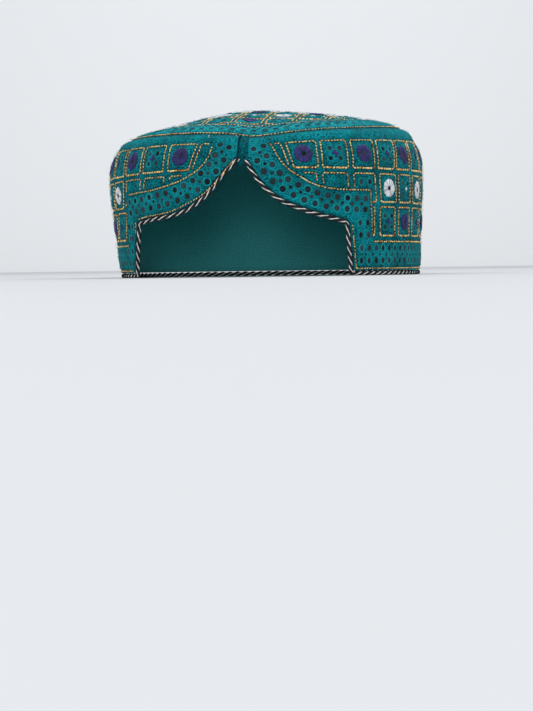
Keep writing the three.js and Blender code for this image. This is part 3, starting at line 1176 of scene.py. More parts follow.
@dataclass
class BandPattern(Pattern):
    """The side band's rows of squares, its field's edge, its lobes' eyelets and its border."""

    outline: EdgeOutline
    corner: float = 1.0
    line: float = 0.95
    heavy_line: float = 1.45
    field_margin: float = 1.6
    lower_line: float = 17.8
    side_foot: float = 21.7
    rim_line: float = 3.7
    border_rows: tuple[float, float] = (7.8, 14.3)
    border_count: int = 77
    flap_rows: tuple[float, float] = (27.6, 21.2)
    row_reach: float = 2.85
    eyelet: float = 1.42
    small_eyelet: float = 0.85
    border_eyelet: float = 1.05
    dot: float = 1.15
    rosette_heart: float = 1.2
    dot_spread: float = 3.0
    lean_end: float = 120.0
    pairs: int = 13
    pair_step: float = 0.4

    def __post_init__(self) -> None:
        """Makes the charts and the smooth edges of the squares' field."""
        super().__post_init__()
        self.chart = BandChart(self.form)
        self.plain = BandChart(self.form, plain=True)
        self.columns = COLUMN_ANGLES[-1].column
        self.edges = [SmoothTable(side.edge) for side in FRONT_SIDES]
        self.top_lean = SmoothTable(TOP_LEANS)

    def column_angle(self, column: float) -> float:
        """Angle from the front of a column's middle, or of a place between two columns."""
        numbers, angles = zip(*COLUMN_ANGLES)
        return float(np.interp(column, numbers, angles))

    def leaned(self, path: Array, row: SquareRow) -> Array:
        """A path on the chart, sheared as its row of squares leans.

        Args:
            path: places on the chart.
            row: the row's table entry.

        Returns:
            The sheared places.
        """
        angle = signed(path[:, 0] / self.form.arc)
        away = np.abs(angle)
        lean = np.where(angle > 0, row.right_lean, row.left_lean)
        if row is SQUARE_ROWS[0]:
            lean = lean + self.top_lean(away)
        lean = lean * np.clip((self.lean_end - away) / (self.lean_end / 2), 0, 1)
        shift = np.sign(angle) * lean * (path[:, 1] - (row.top + row.bottom) / 2) * self.form.arc
        return path + np.stack([shift, np.zeros_like(shift)], -1)

    def field_floor(self, angle: Array) -> Array:
        """Height of the lower edge of the squares' field, out of reach where the field is left open."""
        floor = np.full(angle.shape, self.lower_line)
        for side, edge in zip(FRONT_SIDES, self.edges):
            away = signed(angle) * side.sign
            floor = np.where((away >= 0) & (away < side.field_side), edge(away), floor)
            floor = np.where((away >= 0) & (away < side.edge[0].angle + 0.6), self.form.top_height, floor)
        return floor

    def inside(self, u: Array, v: Array) -> Array:
        """Whether places on the chart lie in the squares' field, clear of its edge."""
        x, height = self.chart.place(u, v)
        angle, reach = x / self.form.arc, 0.6 * self.field_margin / self.form.arc
        floor = np.maximum(self.field_floor(angle - reach), self.field_floor(angle + reach))
        return height > floor + self.field_margin * 0.9

    def squares(self) -> None:
        """Rows of gold squares, cut off where the front lobes cross them, with their motifs."""
        arc = self.form.arc
        for column in range(-1, self.columns + 1):
            u = self.column_angle(column) * arc
            pitch = (self.column_angle(column + 0.5) - self.column_angle(column - 0.5)) * arc
            pitch *= 1 if -1 < column < self.columns else 2
            for number, row in enumerate(SQUARE_ROWS):
                half_v = (row.top - row.bottom) / 2
                middle = (row.top + row.bottom) / 2
                loop = rounded_square((pitch - row.gap) / 2, half_v, self.corner)
                heavy = np.clip((-loop[:, 1] - half_v + 1.2) / 0.8, 0, 1)
                width = self.line + (self.heavy_line - self.line) * heavy
                path = self.leaned(loop + (u, middle), row)
                for run in runs(self.inside(path[:, 0], path[:, 1])):
                    if len(run) > 4:
                        self.add_stroke(self.chart, path[run], width[run])
                if -1 < column < self.columns:
                    self.square_motif(u, middle, number, column, row)

    def square_motif(self, u: float, v: float, number: int, column: int, row: SquareRow) -> None:
        """One square's rosette, or its four dots round a small cross.

        Args:
            u: the square's middle round the cap.
            v: the square's middle height.
            number: the row's number from the top.
            column: the column's number from the front.
            row: the row's table entry.
        """
        if (number + column) % 2 == 0:
            rim = row.rosette * ROUND + (u, v)
            if self.inside(rim[:, 0], rim[:, 1]).all():
                place = np.array([[float(k) for k in self.chart.place(u, v)]])
                self.motifs.append(Motif(self.plain, tuple(place[0]), row.rosette, row.floss))
                self.add_eyelets(self.plain, place, self.rosette_heart, ringed=False)
            return
        corners = self.dot_spread * DOT_CORNERS + (u, v)
        corners = self.leaned(corners, row)
        kept = self.inside(corners[:, 0], corners[:, 1] - self.dot - 0.7)
        whole = self.inside(np.array([u - 6, u + 6]), np.array([v - 5, v - 5])).all()
        if column in (1, self.columns - 2) and number == 1:
            kept[:] = False
        if kept.any():
            places = np.stack(self.chart.place(*corners[kept].T), -1)
            self.add_eyelets(self.plain, places, self.dot)
        if whole:
            reach = 2.0 if row.floss == Floss.PURPLE else 1.1
            self.motifs.append(Motif(self.chart, (u, v), reach, row.floss))

    def field_lines(self) -> None:
        """The gold line round the squares' field: along each lobe, down the right flap and round the back."""
        arc = self.form.arc
        for side, edge in zip(FRONT_SIDES, self.edges):
            angles = np.linspace(side.edge[0].angle, side.edge[-1].angle, 90)
            curve = np.stack([side.sign * angles * arc, edge(angles)], -1)
            self.add_stroke(self.plain, even(curve, LINE_STEP), self.line)
        corner = FRONT_SIDES[0].edge[-1]
        down = np.array([[corner.angle * arc, corner.height], [(corner.angle + 1.2) * arc, self.side_foot]])
        self.add_stroke(self.plain, even(down, LINE_STEP), self.line * 0.75)
        ends = np.array([[FRONT_SIDES[0].lower_start * arc, self.lower_line],
                         [(FULL_TURN - FRONT_SIDES[1].lower_start) * arc, self.lower_line]])
        self.add_stroke(self.chart, even(ends, LINE_STEP), self.line * 1.15)

    def edge_lines(self) -> None:
        """The gold line beside the cord: on the left lobe, the right flap's edge and all along the rim.

        Its ends' distances from the steps are read off the photograph.
        """
        arc = self.form.arc
        full = FULL_TURN * arc
        right = self.outline.right_step * arc
        left = full - self.outline.left_step * arc
        height, top = self.rim_line, self.outline.step_height
        right_foot = right + self.outline.right_lean * arc + 2.6
        left_foot = left - self.outline.left_lean * arc - 2.4
        rim = np.array([[right_foot, height], [left_foot, height]])
        upright = np.array([[right + 2.9, top - 1.5], [right_foot, height]])
        left_upright = np.array([[left - 3.4, top - 4.0], [left - 2.2, top + 1.6]])
        angles = np.linspace(LEFT_LOBE_LINE[0].angle, LEFT_LOBE_LINE[-1].angle, 90)
        lobe = np.stack([-angles * arc, SmoothTable(LEFT_LOBE_LINE)(angles)], -1)
        for path in (rim, upright, left_upright, lobe):
            self.add_stroke(self.plain, even(path, LINE_STEP), self.line * 0.85)

    def border_eyelets(self) -> None:
        """Two rows of upright eyelets along the rim, with small ones between them."""
        right, left = FRONT_SIDES
        u = np.linspace(right.flap_reach + 1.3, FULL_TURN * self.form.arc - left.flap_reach - 2.6,
                        self.border_count + 1)
        for height in self.border_rows:
            places = np.stack([u, np.full_like(u, height)], -1)
            self.add_eyelets(self.plain, places, self.border_eyelet, 1.6)
        between = (u[1:] + u[:-1]) / 2
        small = np.stack([between, np.full_like(between, sum(self.border_rows) / 2)], -1)
        self.add_eyelets(self.plain, small, self.small_eyelet * 0.8, 1.1)

    def lobe_eyelets(self) -> None:
        """Pairs of eyelets along each lobe, small ones between the pairs, and two columns down each flap."""
        for side in FRONT_SIDES:
            flip = (side.sign, 1)
            angles = np.linspace(side.eyelet_line[0].angle, side.eyelet_line[-1].angle, 200)
            line = np.stack([angles * self.form.arc, SmoothTable(side.eyelet_line)(angles)], -1)
            line = even(line, self.pair_step)
            stations = np.arange(2 * self.pairs - 1) * side.pair_pitch / 2 / self.pair_step
            index = np.minimum(stations, len(line) - 1).astype(int)
            pairs = line[index[::2]]
            out = EdgeOutline.offset(line, self.row_reach)[index[::2]] - pairs
            down = np.array([
                (side.flap_reach + number * side.flap_pitch + 0.1 * (self.flap_rows[0] - height), height)
                for number in (0, 1) for height in self.flap_rows
            ])
            self.add_eyelets(self.plain, (pairs - out) * flip, self.eyelet)
            self.add_eyelets(self.plain, (pairs + out) * flip, self.eyelet)
            self.add_eyelets(self.plain, line[index[1::2]] * flip, self.small_eyelet)
            self.add_eyelets(self.plain, down * flip, self.border_eyelet * 1.1, 1.25)

    def draw(self) -> None:
        """Lays out the whole band."""
        self.squares()
        self.field_lines()
        self.edge_lines()
        self.border_eyelets()
        self.lobe_eyelets()


@dataclass
class CrownPattern(Pattern):
    """The crown's rings, the eyelets between them and the grid of squares inside."""

    inner_ring: float = 0.79
    square_pitch: float = 16.1
    square_margin: float = 3.3
    first_row: float = -50.3
    middle_column: float = -0.85
    gap: float = 2.3
    corner: float = 1.0
    line: float = 0.88
    ring_line: float = 0.72
    rosette: float = 4.3
    rosette_heart: float = 1.05
    eyelet: float = 1.2
    small_eyelet: float = 0.75
    dot: float = 1.05
    dot_spread: float = 2.6
    eyelet_rows: tuple[float, float] = (0.93, 0.86)
    eyelet_count: int = 76

    def __post_init__(self) -> None:
        """Makes the chart."""
        super().__post_init__()
        self.chart = CrownChart(self.form)
        share = WALL_SECTIONS[-1].out
        self.reach = np.array([self.form.half_width, self.form.half_length]) * share

    def ring(self, share: float, count: int, turn: float = 0.0) -> Array:
        """Evenly spaced places round the crown at a share of its reach."""
        a = np.linspace(0, 2 * math.pi, count + 1)[:-1] + turn
        shift = self.form.top[0] * (1 - share)
        return np.stack([self.reach[0] * share * np.sin(a) + shift, -self.reach[1] * share * np.cos(a)], -1)

    def rings(self) -> None:
        """The two gold rings and the eyelets between them."""
        for share in (0.9985, self.inner_ring):
            loop = self.ring(share, 900)
            closed = np.concatenate([loop, loop[:1]])
            self.add_stroke(self.chart, closed, self.ring_line)
        turn = math.pi / self.eyelet_count
        for share in self.eyelet_rows:
            self.add_eyelets(self.chart, self.ring(share, self.eyelet_count), self.eyelet)
        small = self.ring(sum(self.eyelet_rows) / 2, self.eyelet_count, turn)
        self.add_eyelets(self.chart, small, self.small_eyelet)

    def inside(self, places: Array, margin: float) -> Array:
        """Whether places lie inside the inner ring by a margin."""
        shift = self.form.top[0] * (1 - self.inner_ring)
        a, b = self.reach * self.inner_ring - margin
        return ((places[:, 0] - shift) / a) ** 2 + (places[:, 1] / b) ** 2 < 1

    def squares(self) -> None:
        """A straight grid of gold squares, cut off by the inner ring, with their motifs."""
        half = (self.square_pitch - self.gap) / 2
        for i in range(-4, 5):
            for j in range(0, 8):
                middle = np.array([self.middle_column + i * self.square_pitch,
                                   self.first_row + j * self.square_pitch])
                loop = rounded_square(half, half, self.corner) + middle
                for run in runs(self.inside(loop, self.square_margin)):
                    if len(run) > 5:
                        self.add_stroke(self.chart, loop[run], self.line)
                self.square_motif(middle, i, j)

    def square_motif(self, middle: Array, i: int, j: int) -> None:
        """One square's rosette, or its four dots round a small cross.

        Args:
            middle: the square's middle.
            i: the column's number from the middle one.
            j: the row's number from the front.
        """
        floss = Floss.PURPLE if j % 2 == 0 else Floss.WHITE
        if (i + j) % 2 == 0:
            rim = middle + self.rosette * ROUND
            if self.inside(rim, 1.2).all():
                self.motifs.append(Motif(self.chart, tuple(middle), self.rosette, floss))
                self.add_eyelets(self.chart, middle[None], self.rosette_heart, ringed=False)
            return
        dots = middle + self.dot_spread * DOT_CORNERS
        kept = self.inside(dots, 3.0)
        if kept.any():
            self.add_eyelets(self.chart, dots[kept], self.dot)
        if kept.all():
            self.motifs.append(Motif(self.chart, tuple(middle), 1.2, floss))

    def draw(self) -> None:
        """Lays out the whole crown."""
        self.rings()
        self.squares()


def stamp(
    template: Array,
    faces: Sequence[Array],
    origins: Array,
    axes: Array,
    sizes: Array,
) -> tuple[Array, list[Array]]:
    """Repeats a small body at many places.

    Args:
        template: its corners, in its own axes.
        faces: its faces, in blocks of one size.
        origins: where each copy goes.
        axes: each copy's three directions.
        sizes: each copy's size along them.

    Returns:
        All corners, and the faces in blocks.
    """
    scaled = template[None] * sizes[:, None, :]
    points = origins[:, None, :] + np.einsum("nki,nij->nkj", scaled, axes)
    starts = np.arange(len(origins))[:, None, None] * len(template)
    blocks = [(block[None] + starts).reshape(-1, block.shape[1]) for block in faces]
    return points.reshape(-1, 3), blocks


def lathe_faces(rings: int, sides: int, flip: bool = False) -> Array:
    """Faces between rings of corners, each ring closed."""
    r, s = np.meshgrid(np.arange(rings - 1), np.arange(sides), indexing="ij")
    a, b = r * sides + s, r * sides + (s + 1) % sides
    quads = np.stack([a, b, b + sides, a + sides], -1).reshape(-1, 4)
    return quads[:, ::-1] if flip else quads


def fan(centre: int, start: int, sides: int, flip: bool = False) -> Array:
    """Triangles from a middle corner to a ring."""
    s = np.arange(sides)
    made = np.stack([np.full(sides, centre), start + s, start + (s + 1) % sides], -1)
    return made[:, ::-1] if flip else made


def grain_body() -> tuple[Array, list[Array]]:
    """One wrap of thread: a short body with pointed ends, 1 long, 1 wide and 1 high."""
    sides = 5
    ring = circle(turns(sides) + 0.3, 0.5, 0.0)[:, [2, 0, 1]]
    rings = [ring + (x, 0, 0) for x in (-0.24, 0.24)]
    points = np.concatenate([*rings, [[-0.5, 0, 0]], [[0.5, 0, 0]]])
    faces = [lathe_faces(2, sides), fan(10, 0, sides, True), fan(11, 5, sides)]
    return points, [block[:, ::-1] for block in faces]


def heart_body() -> tuple[Array, list[Array]]:
    """The dark middle of an eyelet: a low cushion of radius 1."""
    sides = 12
    rings = [circle(turns(sides), out, up) for out, up in ((1.0, -0.1), (0.82, 0.1), (0.4, 0.06))]
    points = np.concatenate([*rings, [[0, 0, 0.0]], [[0, 0, -0.3]]])
    return points, [lathe_faces(3, sides), fan(36, 24, sides), fan(37, 0, sides, True)]


def ring_body(stitches: int) -> tuple[Array, list[Array]]:
    """A raised ring of stitches round an eyelet; x and y are 1 on the ring's middle line."""
    steps = stitches * 2
    high = np.where(np.arange(steps) % 2 == 0, 1.0, 0.35)
    profile = ((0.32, -1.6), (0.2, 0.6), (-0.02, 1.0), (-0.22, 0.3), (0.0, -2.2))
    rows = []
    for out, up in profile:
        radius = 1 + out * (0.7 + 0.3 * high)
        rows.append(circle(turns(steps), radius, up * high if up > 0.5 else up))
    first = np.arange(steps)
    after = (first + 1) % steps
    last = (len(profile) - 1) * steps
    closing = np.stack([last + first, last + after, after, first], -1)
    return np.concatenate(rows), [lathe_faces(len(profile), steps), closing]


@dataclass
class Embroiderer:
    """Turns strokes, eyelets and motifs into stitched meshes that lie on the cloth."""

    relief: Relief
    grain_pitch: float = 0.92
    grain_slant: float = 34.0
    grain_height: float = 0.56
    grain_rise: float = 0.24
    heart_rise: float = 0.42
    bare_heart_rise: float = 0.66
    ring_rise: float = 0.5
    ring_gap: float = 0.2
    petals: int = 30
    petal_height: float = 0.55
    cross_rise: float = 0.28
    seed: int = 7

    def __post_init__(self) -> None:
        """Starts the random draws."""
        self.rng = np.random.default_rng(self.seed)

    def note(self, strokes: Sequence[Stroke], eyelets: Sequence[Eyelets]) -> None:
        """Lets the lines and eyelets press into the cloth."""
        for stroke in strokes:
            self.relief.add_line(stroke.chart.at(stroke.path[:, 0], stroke.path[:, 1])[0])
        for group in eyelets:
            points, _ = group.chart.at(group.places[:, 0], group.places[:, 1])
            self.relief.add_rounds(points, group.radii)

    def lines(self, parts: MeshParts, strokes: Sequence[Stroke]) -> None:
        """Lays gold thread along the strokes, wrap by wrap.

        Args:
            parts: the piece that gets the thread.
            strokes: the lines.
        """
        rows = []
        for stroke in strokes:
            points, normal = stroke.chart.at(stroke.path[:, 0], stroke.path[:, 1])
            at = lengths(points)
            count = max(1, int(round(at[-1] / self.grain_pitch)))
            new = (np.arange(count) + 0.5) * at[-1] / count
            known = np.column_stack([points, normal, np.gradient(points, axis=0), stroke.width])
            rows.append(np.stack([np.interp(new, at, column) for column in known.T], -1))
        found = np.concatenate(rows)
        place, normal, tangent, width = found[:, :3], unit(found[:, 3:6]), found[:, 6:9], found[:, 9]
        count = len(found)
        tangent = unit(tangent - normal * (tangent * normal).sum(-1, keepdims=True))
        side = np.cross(normal, tangent)
        slant = np.radians(self.grain_slant + self.rng.normal(0, 7, count))[:, None]
        along = unit(tangent * np.cos(slant) + side * np.sin(slant))
        across = np.cross(normal, along)
        padding = strokes[0].chart.puff
        rise = self.relief.height(place, padding) + self.grain_rise + self.rng.normal(0, 0.05, count)
        place = place + normal * rise[:, None]
        place += side * self.rng.normal(0, 0.06, (count, 1))
        wide = width * 0.6 * self.rng.uniform(0.85, 1.15, count)
        long = np.hypot(self.grain_pitch, width * 0.7) * self.rng.uniform(0.95, 1.15, count)
        sizes = np.stack([long, wide, np.full(count, self.grain_height)], -1)
        body, faces = grain_body()
        points, blocks = stamp(body, faces, place, np.stack([along, across, normal], 1), sizes)
        # Wraps alternate lighter and darker, with a random spread: painted glints and painted shade along the
        # twist.
        painted_glint_beat = 0.28 * np.cos(np.arange(count) * math.pi) + 0.1 * np.sin(np.arange(count) * 0.8)
        tone = np.clip(0.52 + painted_glint_beat + self.rng.normal(0, 0.24, count), 0, 1)
        parts.add(points, blocks, tone=np.repeat(tone, len(body)))

    def place_on(self, group: Eyelets) -> tuple[Array, Array, Array]:
        """Where a group of eyelets lies.

        Args:
            group: the eyelets.

        Returns:
            Middles, axes and normals.
        """
        points, across, _, normal = group.chart.axes(group.places[:, 0], group.places[:, 1])
        across = unit(across)
        axes = np.stack([across, np.cross(normal, across), normal], 1)
        return points, axes, normal

    def hearts(self, parts: MeshParts, eyelets: Sequence[Eyelets]) -> None:
        """Fills eyelets with dark stitching."""
        body, faces = heart_body()
        for group in eyelets:
            points, axes, normal = self.place_on(group)
            count = len(points)
            rise = self.relief.height(points, group.chart.puff)
            rise += self.heart_rise if group.ringed else self.bare_heart_rise
            radius = group.radii * self.rng.uniform(0.94, 1.08, count)
            wide = radius * self.rng.uniform(0.92, 1.08, count)
            sizes = np.stack([wide, radius * group.tall, np.ones(count)], -1)
            made, blocks = stamp(body, faces, points + normal * rise[:, None], axes, sizes)
            tone = np.repeat(np.clip(self.rng.normal(0.45, 0.25, count), 0, 1), len(body))
            parts.add(made, blocks, tone=tone)

    def rings(self, parts: MeshParts, eyelets: Sequence[Eyelets]) -> None:
        """Rings of teal stitches round the eyelets."""
        for group in eyelets:
            if not group.ringed:
                continue
            body, faces = ring_body(16 if group.radii[0] > 1 else 11)
            points, axes, normal = self.place_on(group)
            count = len(points)
            rise = self.relief.height(points, group.chart.puff) + self.ring_rise
            radius = (group.radii * 1.22 + self.ring_gap) * self.rng.uniform(0.94, 1.06, count)
            high = radius + group.radii * (group.tall - 1)
            sizes = np.stack([radius, high, self.rng.uniform(0.12, 0.24, count)], -1)
            made, blocks = stamp(body, faces, points + normal * rise[:, None], axes, sizes)
            stitch = self.rng.normal(0, 0.2, (count, len(body))) + self.rng.normal(0.46, 0.2, (count, 1))
            tone = np.clip(stitch, 0, 1).ravel()
            parts.add(made, blocks, tone=tone)

    def rosette(self, parts: MeshParts, motif: Motif) -> None:
        """One round rosette of radial satin stitches with a scalloped edge.

        Args:
            parts: the piece that gets it.
            motif: its place, radius and floss.
        """
        fine = 4
        sides = self.petals * fine
        turn = turns(sides) + self.rng.uniform(0, 1)
        ridge = np.sqrt(1 - (2 * (np.arange(sides) % fine) / fine - 1) ** 2)
        petal = np.arange(sides) // fine
        jitter = self.rng.normal(0, 0.028, self.petals)[petal]
        rows, tones, places = [], [], []
        profile = ((0.24, 0.05), (0.3, 0.5), (0.5, 0.8), (0.75, 0.78), (0.94, 0.55), (1.0, -0.1))
        petal_tone = self.rng.normal(0.5, 0.24, self.petals)[petal]
        for share, up in profile:
            out = motif.radius * share * (1 + (0.03 * (ridge - 1) + jitter) * (share > 0.9))
            lift = up * (0.62 + 0.38 * ridge) if up > 0 else up
            rows.append(circle(turn, out, lift * self.petal_height))
            # The valleys between petals are painted darker: painted shade.
            tones.append(petal_tone - 0.3 * (1 - ridge))
            places.append(np.stack([np.unwrap(turn) * motif.radius, out], -1))
        local = np.concatenate([*rows, [[0, 0, 0.0]], [[0, 0, -0.3]]])
        uv = np.concatenate([*places, [[0, 0]], [[0, 0]]])
        tone = np.concatenate([*tones, [0.2], [0.2]])
        last = len(profile) * sides
        faces = [
            lathe_faces(len(profile), sides, True),
            fan(last, 0, sides),
            fan(last + 1, (len(profile) - 1) * sides, sides, True),
        ]
        point, across, along, _ = motif.chart.axes(np.array([motif.place[0]]), np.array([motif.place[1]]))
        stretch = (np.linalg.norm(across[0]), np.linalg.norm(along[0]))
        u = motif.place[0] + local[:, 0] / stretch[0]
        v = motif.place[1] + local[:, 1] / stretch[1]
        surface, normal = motif.chart.at(u, v)
        puff = float(self.relief.height(point - 2.0 * unit(across), motif.chart.puff)[0])
        parts.add(surface + normal * (local[:, 2] + puff)[:, None], faces, uv, np.clip(tone, 0, 1))

    def cross(self, parts: MeshParts, motif: Motif) -> None:
        """A small cross of four short stitches."""
        body, faces = grain_body()
        point, across, _, normal = motif.chart.axes(np.array([motif.place[0]]), np.array([motif.place[1]]))
        across, normal = unit(across[0]), normal[0]
        along = np.cross(normal, across)
        rise = float(self.relief.height(point, motif.chart.puff)[0]) + self.cross_rise
        for quarter in range(4):
            a = quarter * math.pi / 2 + self.rng.normal(0, 0.1)
            way = across * math.cos(a) + along * math.sin(a)
            axes = np.stack([way, np.cross(normal, way), normal])[None]
            origin = (point[0] + way * motif.radius * 0.5 + normal * rise)[None]
            sizes = np.array([[motif.radius * 1.25, motif.radius * 0.62, 0.5]])
            made, blocks = stamp(body, faces, origin, axes, sizes)
            parts.add(made, blocks, tone=float(np.clip(self.rng.normal(0.5, 0.15), 0, 1)))


@dataclass
class Finishes:
    """Every material of the cap."""

    band: StitchedCotton = StitchedCotton("stitched_cotton_band", "#06959E", "#016872", "#00323A")
    # The crown's cloth is the band's cloth painted lighter, standing in for the light that falls on the top:
    # painted light.
    crown: StitchedCotton = StitchedCotton("stitched_cotton_crown_painted_lighter", "#1CB4BE", "#06808A", "#004049")
    # The lining's colours are painted light, standing in for light inside the shaded cap.
    lining: PlainCotton = PlainCotton("plain_cotton_inside_painted_light", "#5CC6C8", "#30A0A4")
    # The palest gold stop is a painted glint colour.
    gold: MetallicThread = MetallicThread("metallic_gold_thread", "#FFF0AA", "#DE9C3C", "#5E3A0C")
    purple: SilkFloss = SilkFloss("purple_silk_floss", "#2B237F", "#161156", "#070525", sheen="#3A3490",
                                streak=1.5)
    white: SilkFloss = SilkFloss("white_silk_floss", "#F4F6F8", "#D3D8DC", "#98A2A8")
    dark: CottonThread = CottonThread("dark_stitching", "#323B41", "#101519", 0.95)
    teal: CottonThread = CottonThread("teal_ring_thread", "#0A929A", "#025A62", 0.85)
    black_ply: CottonThread = CottonThread("black_cotton_ply", "#262C32", "#080B0E", 0.75, 0.2)
    white_ply: CottonThread = CottonThread("white_cotton_ply", "#FBF8F2", "#C4C0B8", 0.7, 0.2)


@dataclass
class SideBand:
    """The embroidered side wall, cut and sewn to shape."""

    form: CapForm
    outline: EdgeOutline
    relief: Relief
    spacing: float = 0.74
    rows: int = 100
    ratio: int = 4
    tuck_wall: float = 1.4
    tuck_overlap: float = 4.2
    hem_drop: float = 1.2
    tuck_top: float = 1.03
    step_room: float = 3.2
    unevenness: float = 0.14
    edge_fade: float = 1.2
    seam_dip: float = 0.35
    seam_reach: float = 1.1

    def columns(self) -> dict[str, Array]:
        """Angle, lower edge, depth, wall and top of every column of the cloth.

        Returns:
            One array for each, from the tucked end round to the other end.
        """
        arc, lift = self.form.arc, self.form.cord / 2 + self.form.clearance
        edge = self.outline.offset(self.outline.cord_line(), lift)
        edge = edge[np.argsort(edge[:, 0], kind="stable")]
        inset = self.form.wall / 2 + lift + self.form.clearance
        first, end = edge[0], edge[-1, 0] - FULL_TURN * arc
        hem = self.outline.notch_height - self.hem_drop
        cord_end = first[0] - lift
        knots = np.array([
            (end - self.tuck_overlap, hem, inset, self.tuck_wall, self.tuck_top),
            (cord_end - lift, hem, inset, self.tuck_wall, self.tuck_top),
            (cord_end - lift / 2, first[1] + self.form.clearance, inset, self.tuck_wall, self.tuck_top),
            (first[0] - lift / 3, first[1] + self.form.clearance, inset / 2, self.tuck_wall, self.tuck_top),
            (first[0], first[1], 0.12, self.form.wall, 1.0),
        ])
        tuck = even(knots, 0.5)
        count = int((edge[-1, 0] - first[0]) / self.spacing)
        x = np.linspace(first[0], edge[-1, 0], count)
        # The steps are almost upright, so more columns stand there
        near = (self.outline.right_step * arc + self.step_room,
                (FULL_TURN - self.outline.left_step) * arc - self.step_room)
        extra = np.concatenate([np.linspace(m - 3.6, m + 3.6, 28) for m in near])
        x = np.unique(np.round(np.concatenate([x, extra]), 3))
        # The inner face has every ratio-th column, the last one too
        surplus = (len(x) + len(tuck) - 2) % self.ratio
        keep = np.ones(len(x), bool)
        keep[np.arange(surplus) * 40 + 120] = False
        x = x[keep]
        rest = np.stack([x, np.interp(x, edge[:, 0], edge[:, 1]), np.zeros(len(x)),
                         np.full(len(x), self.form.wall), np.ones(len(x))], -1)
        names = ("angle", "bottom", "depth", "wall", "top")
        found = dict(zip(names, np.concatenate([tuck[:-1], rest]).T))
        found["shown"] = np.clip((found["angle"] - end) / 1.2, 0, 1)
        found["angle"] = found["angle"] / arc
        return found

    def cloth(self, finishes: Finishes) -> Object:
        """The cloth wall, with everything pressed into it that is sewn on it."""
        c = self.columns()
        seam = self.form.seam(c["angle"])
        low = c["bottom"] / seam
        high = c["top"] - self.form.clearance / 2 / seam
        share = 1 - (1 - np.linspace(0, 1, self.rows + 1)) ** 1.2
        t = low[:, None] + (high - low)[:, None] * share[None]
        angle = np.broadcast_to(c["angle"][:, None], t.shape)
        plain = self.form.point(angle, t)
        normal = self.form.normal(angle, t)
        rise = np.clip((t * seam[:, None] - self.outline.notch_height - 3) / 9, 0, 1)
        depth = c["depth"][:, None] * (1 - 0.7 * c["shown"][:, None] * rise)
        sunk = plain - normal * depth[..., None]
        flat = plain.reshape(-1, 3)
        height = self.relief.height(flat, BandChart.puff).reshape(t.shape)
        height += self.unevenness * rough_noise(flat, 9.0, 3).reshape(t.shape)
        bare = np.clip(1 - c["depth"] / 0.8, 0, 1)[:, None]
        brink = np.minimum(t - low[:, None], high[:, None] - t) * seam[:, None]
        height = height * bare * np.clip(brink / self.edge_fade, 0, 1)
        to_seam = (high[:, None] - t) * seam[:, None]
        dip = -self.seam_dip * np.exp(-((to_seam / self.seam_reach) ** 2))
        outer = sunk + normal * (height + dip * bare)[..., None]
        inner = sunk - normal * c["wall"][:, None, None]
        inner[..., 2] = np.maximum(inner[..., 2], outer[:, :1, 2])
        inner = inner[:: self.ratio, :: self.ratio]
        steps = np.linalg.norm(np.diff(plain, axis=1), axis=2)
        along = np.concatenate([np.zeros((len(t), 1)), np.cumsum(steps, 1)], 1) + c["bottom"][:, None]
        uv = np.stack([angle * self.form.arc, along], -1)
        # The tone follows the relief and drops in the tucked strip, so grooves, pits, the seam's dip and the
        # tuck are painted darker as shade.
        tone = np.clip(0.45 + height + dip - 0.15 * (1 - bare), 0, 1)
        parts = MeshParts()
        shell(outer, inner, uv, tone, self.ratio, parts)
        return parts.make("band_cloth", [finishes.band.material(), finishes.lining.material()])


@dataclass
class Crown:
    """The round domed top piece."""

    form: CapForm
    relief: Relief
    cells: int = 220
    ratio: int = 5
    unevenness: float = 0.16
    edge_fade: float = 1.2
    seam_dip: float = 0.35
    seam_reach: float = 1.1

    def disc(self) -> tuple[Array, Array]:
        """Places in plan of a square grid bent to the crown's round outline.

        Returns:
            Angle and share of the reach for each grid point.
        """
        line = np.linspace(-1, 1, self.cells + 1)
        a, b = np.meshgrid(line, line, indexing="ij")
        wide = np.abs(a) > np.abs(b)
        radius = np.where(wide, a, b)
        safe = np.where(radius == 0, 1, radius)
        turn = np.where(wide, math.pi / 4 * b / safe, math.pi / 2 - math.pi / 4 * a / safe)
        x, y = radius * np.cos(turn), radius * np.sin(turn)
        return np.degrees(np.arctan2(x, -y)), np.hypot(x, y)

    def cloth(self, finishes: Finishes) -> Object:
        """The crown's cloth, with everything pressed into it that is sewn on it."""
        angle, share = self.disc()
        gap = self.form.clearance / 2 / self.form.half_width
        t = 2 - share * (1 - gap)
        plain = self.form.crown_point(angle, t)
        _, normal = self.form.crown_at(plain[..., 0], plain[..., 1])
        edge = share > 0.97
        normal[edge] = self.form.normal(angle[edge], t[edge])
        flat = plain.reshape(-1, 3)
        height = self.relief.height(flat, CrownChart.puff).reshape(t.shape)
        height += self.unevenness * rough_noise(flat, 10.0, 5).reshape(t.shape)
        brink = (1 - share) * self.form.half_width * WALL_SECTIONS[-1].out
        height *= np.clip(brink / self.edge_fade, 0, 1)
        height -= self.seam_dip * np.exp(-((brink / self.seam_reach) ** 2))
        outer = plain + normal * height[..., None]
        inner = (plain - normal * self.form.wall)[:: self.ratio, :: self.ratio]
        parts = MeshParts()
        # The tone follows the relief, so grooves, pits and the seam's dip are painted darker as shade.
        shell(outer, inner, plain[..., :2], np.clip(0.25 + height, 0, 1), self.ratio, parts)
        return parts.make("crown_cloth", [finishes.crown.material(), finishes.lining.material()])


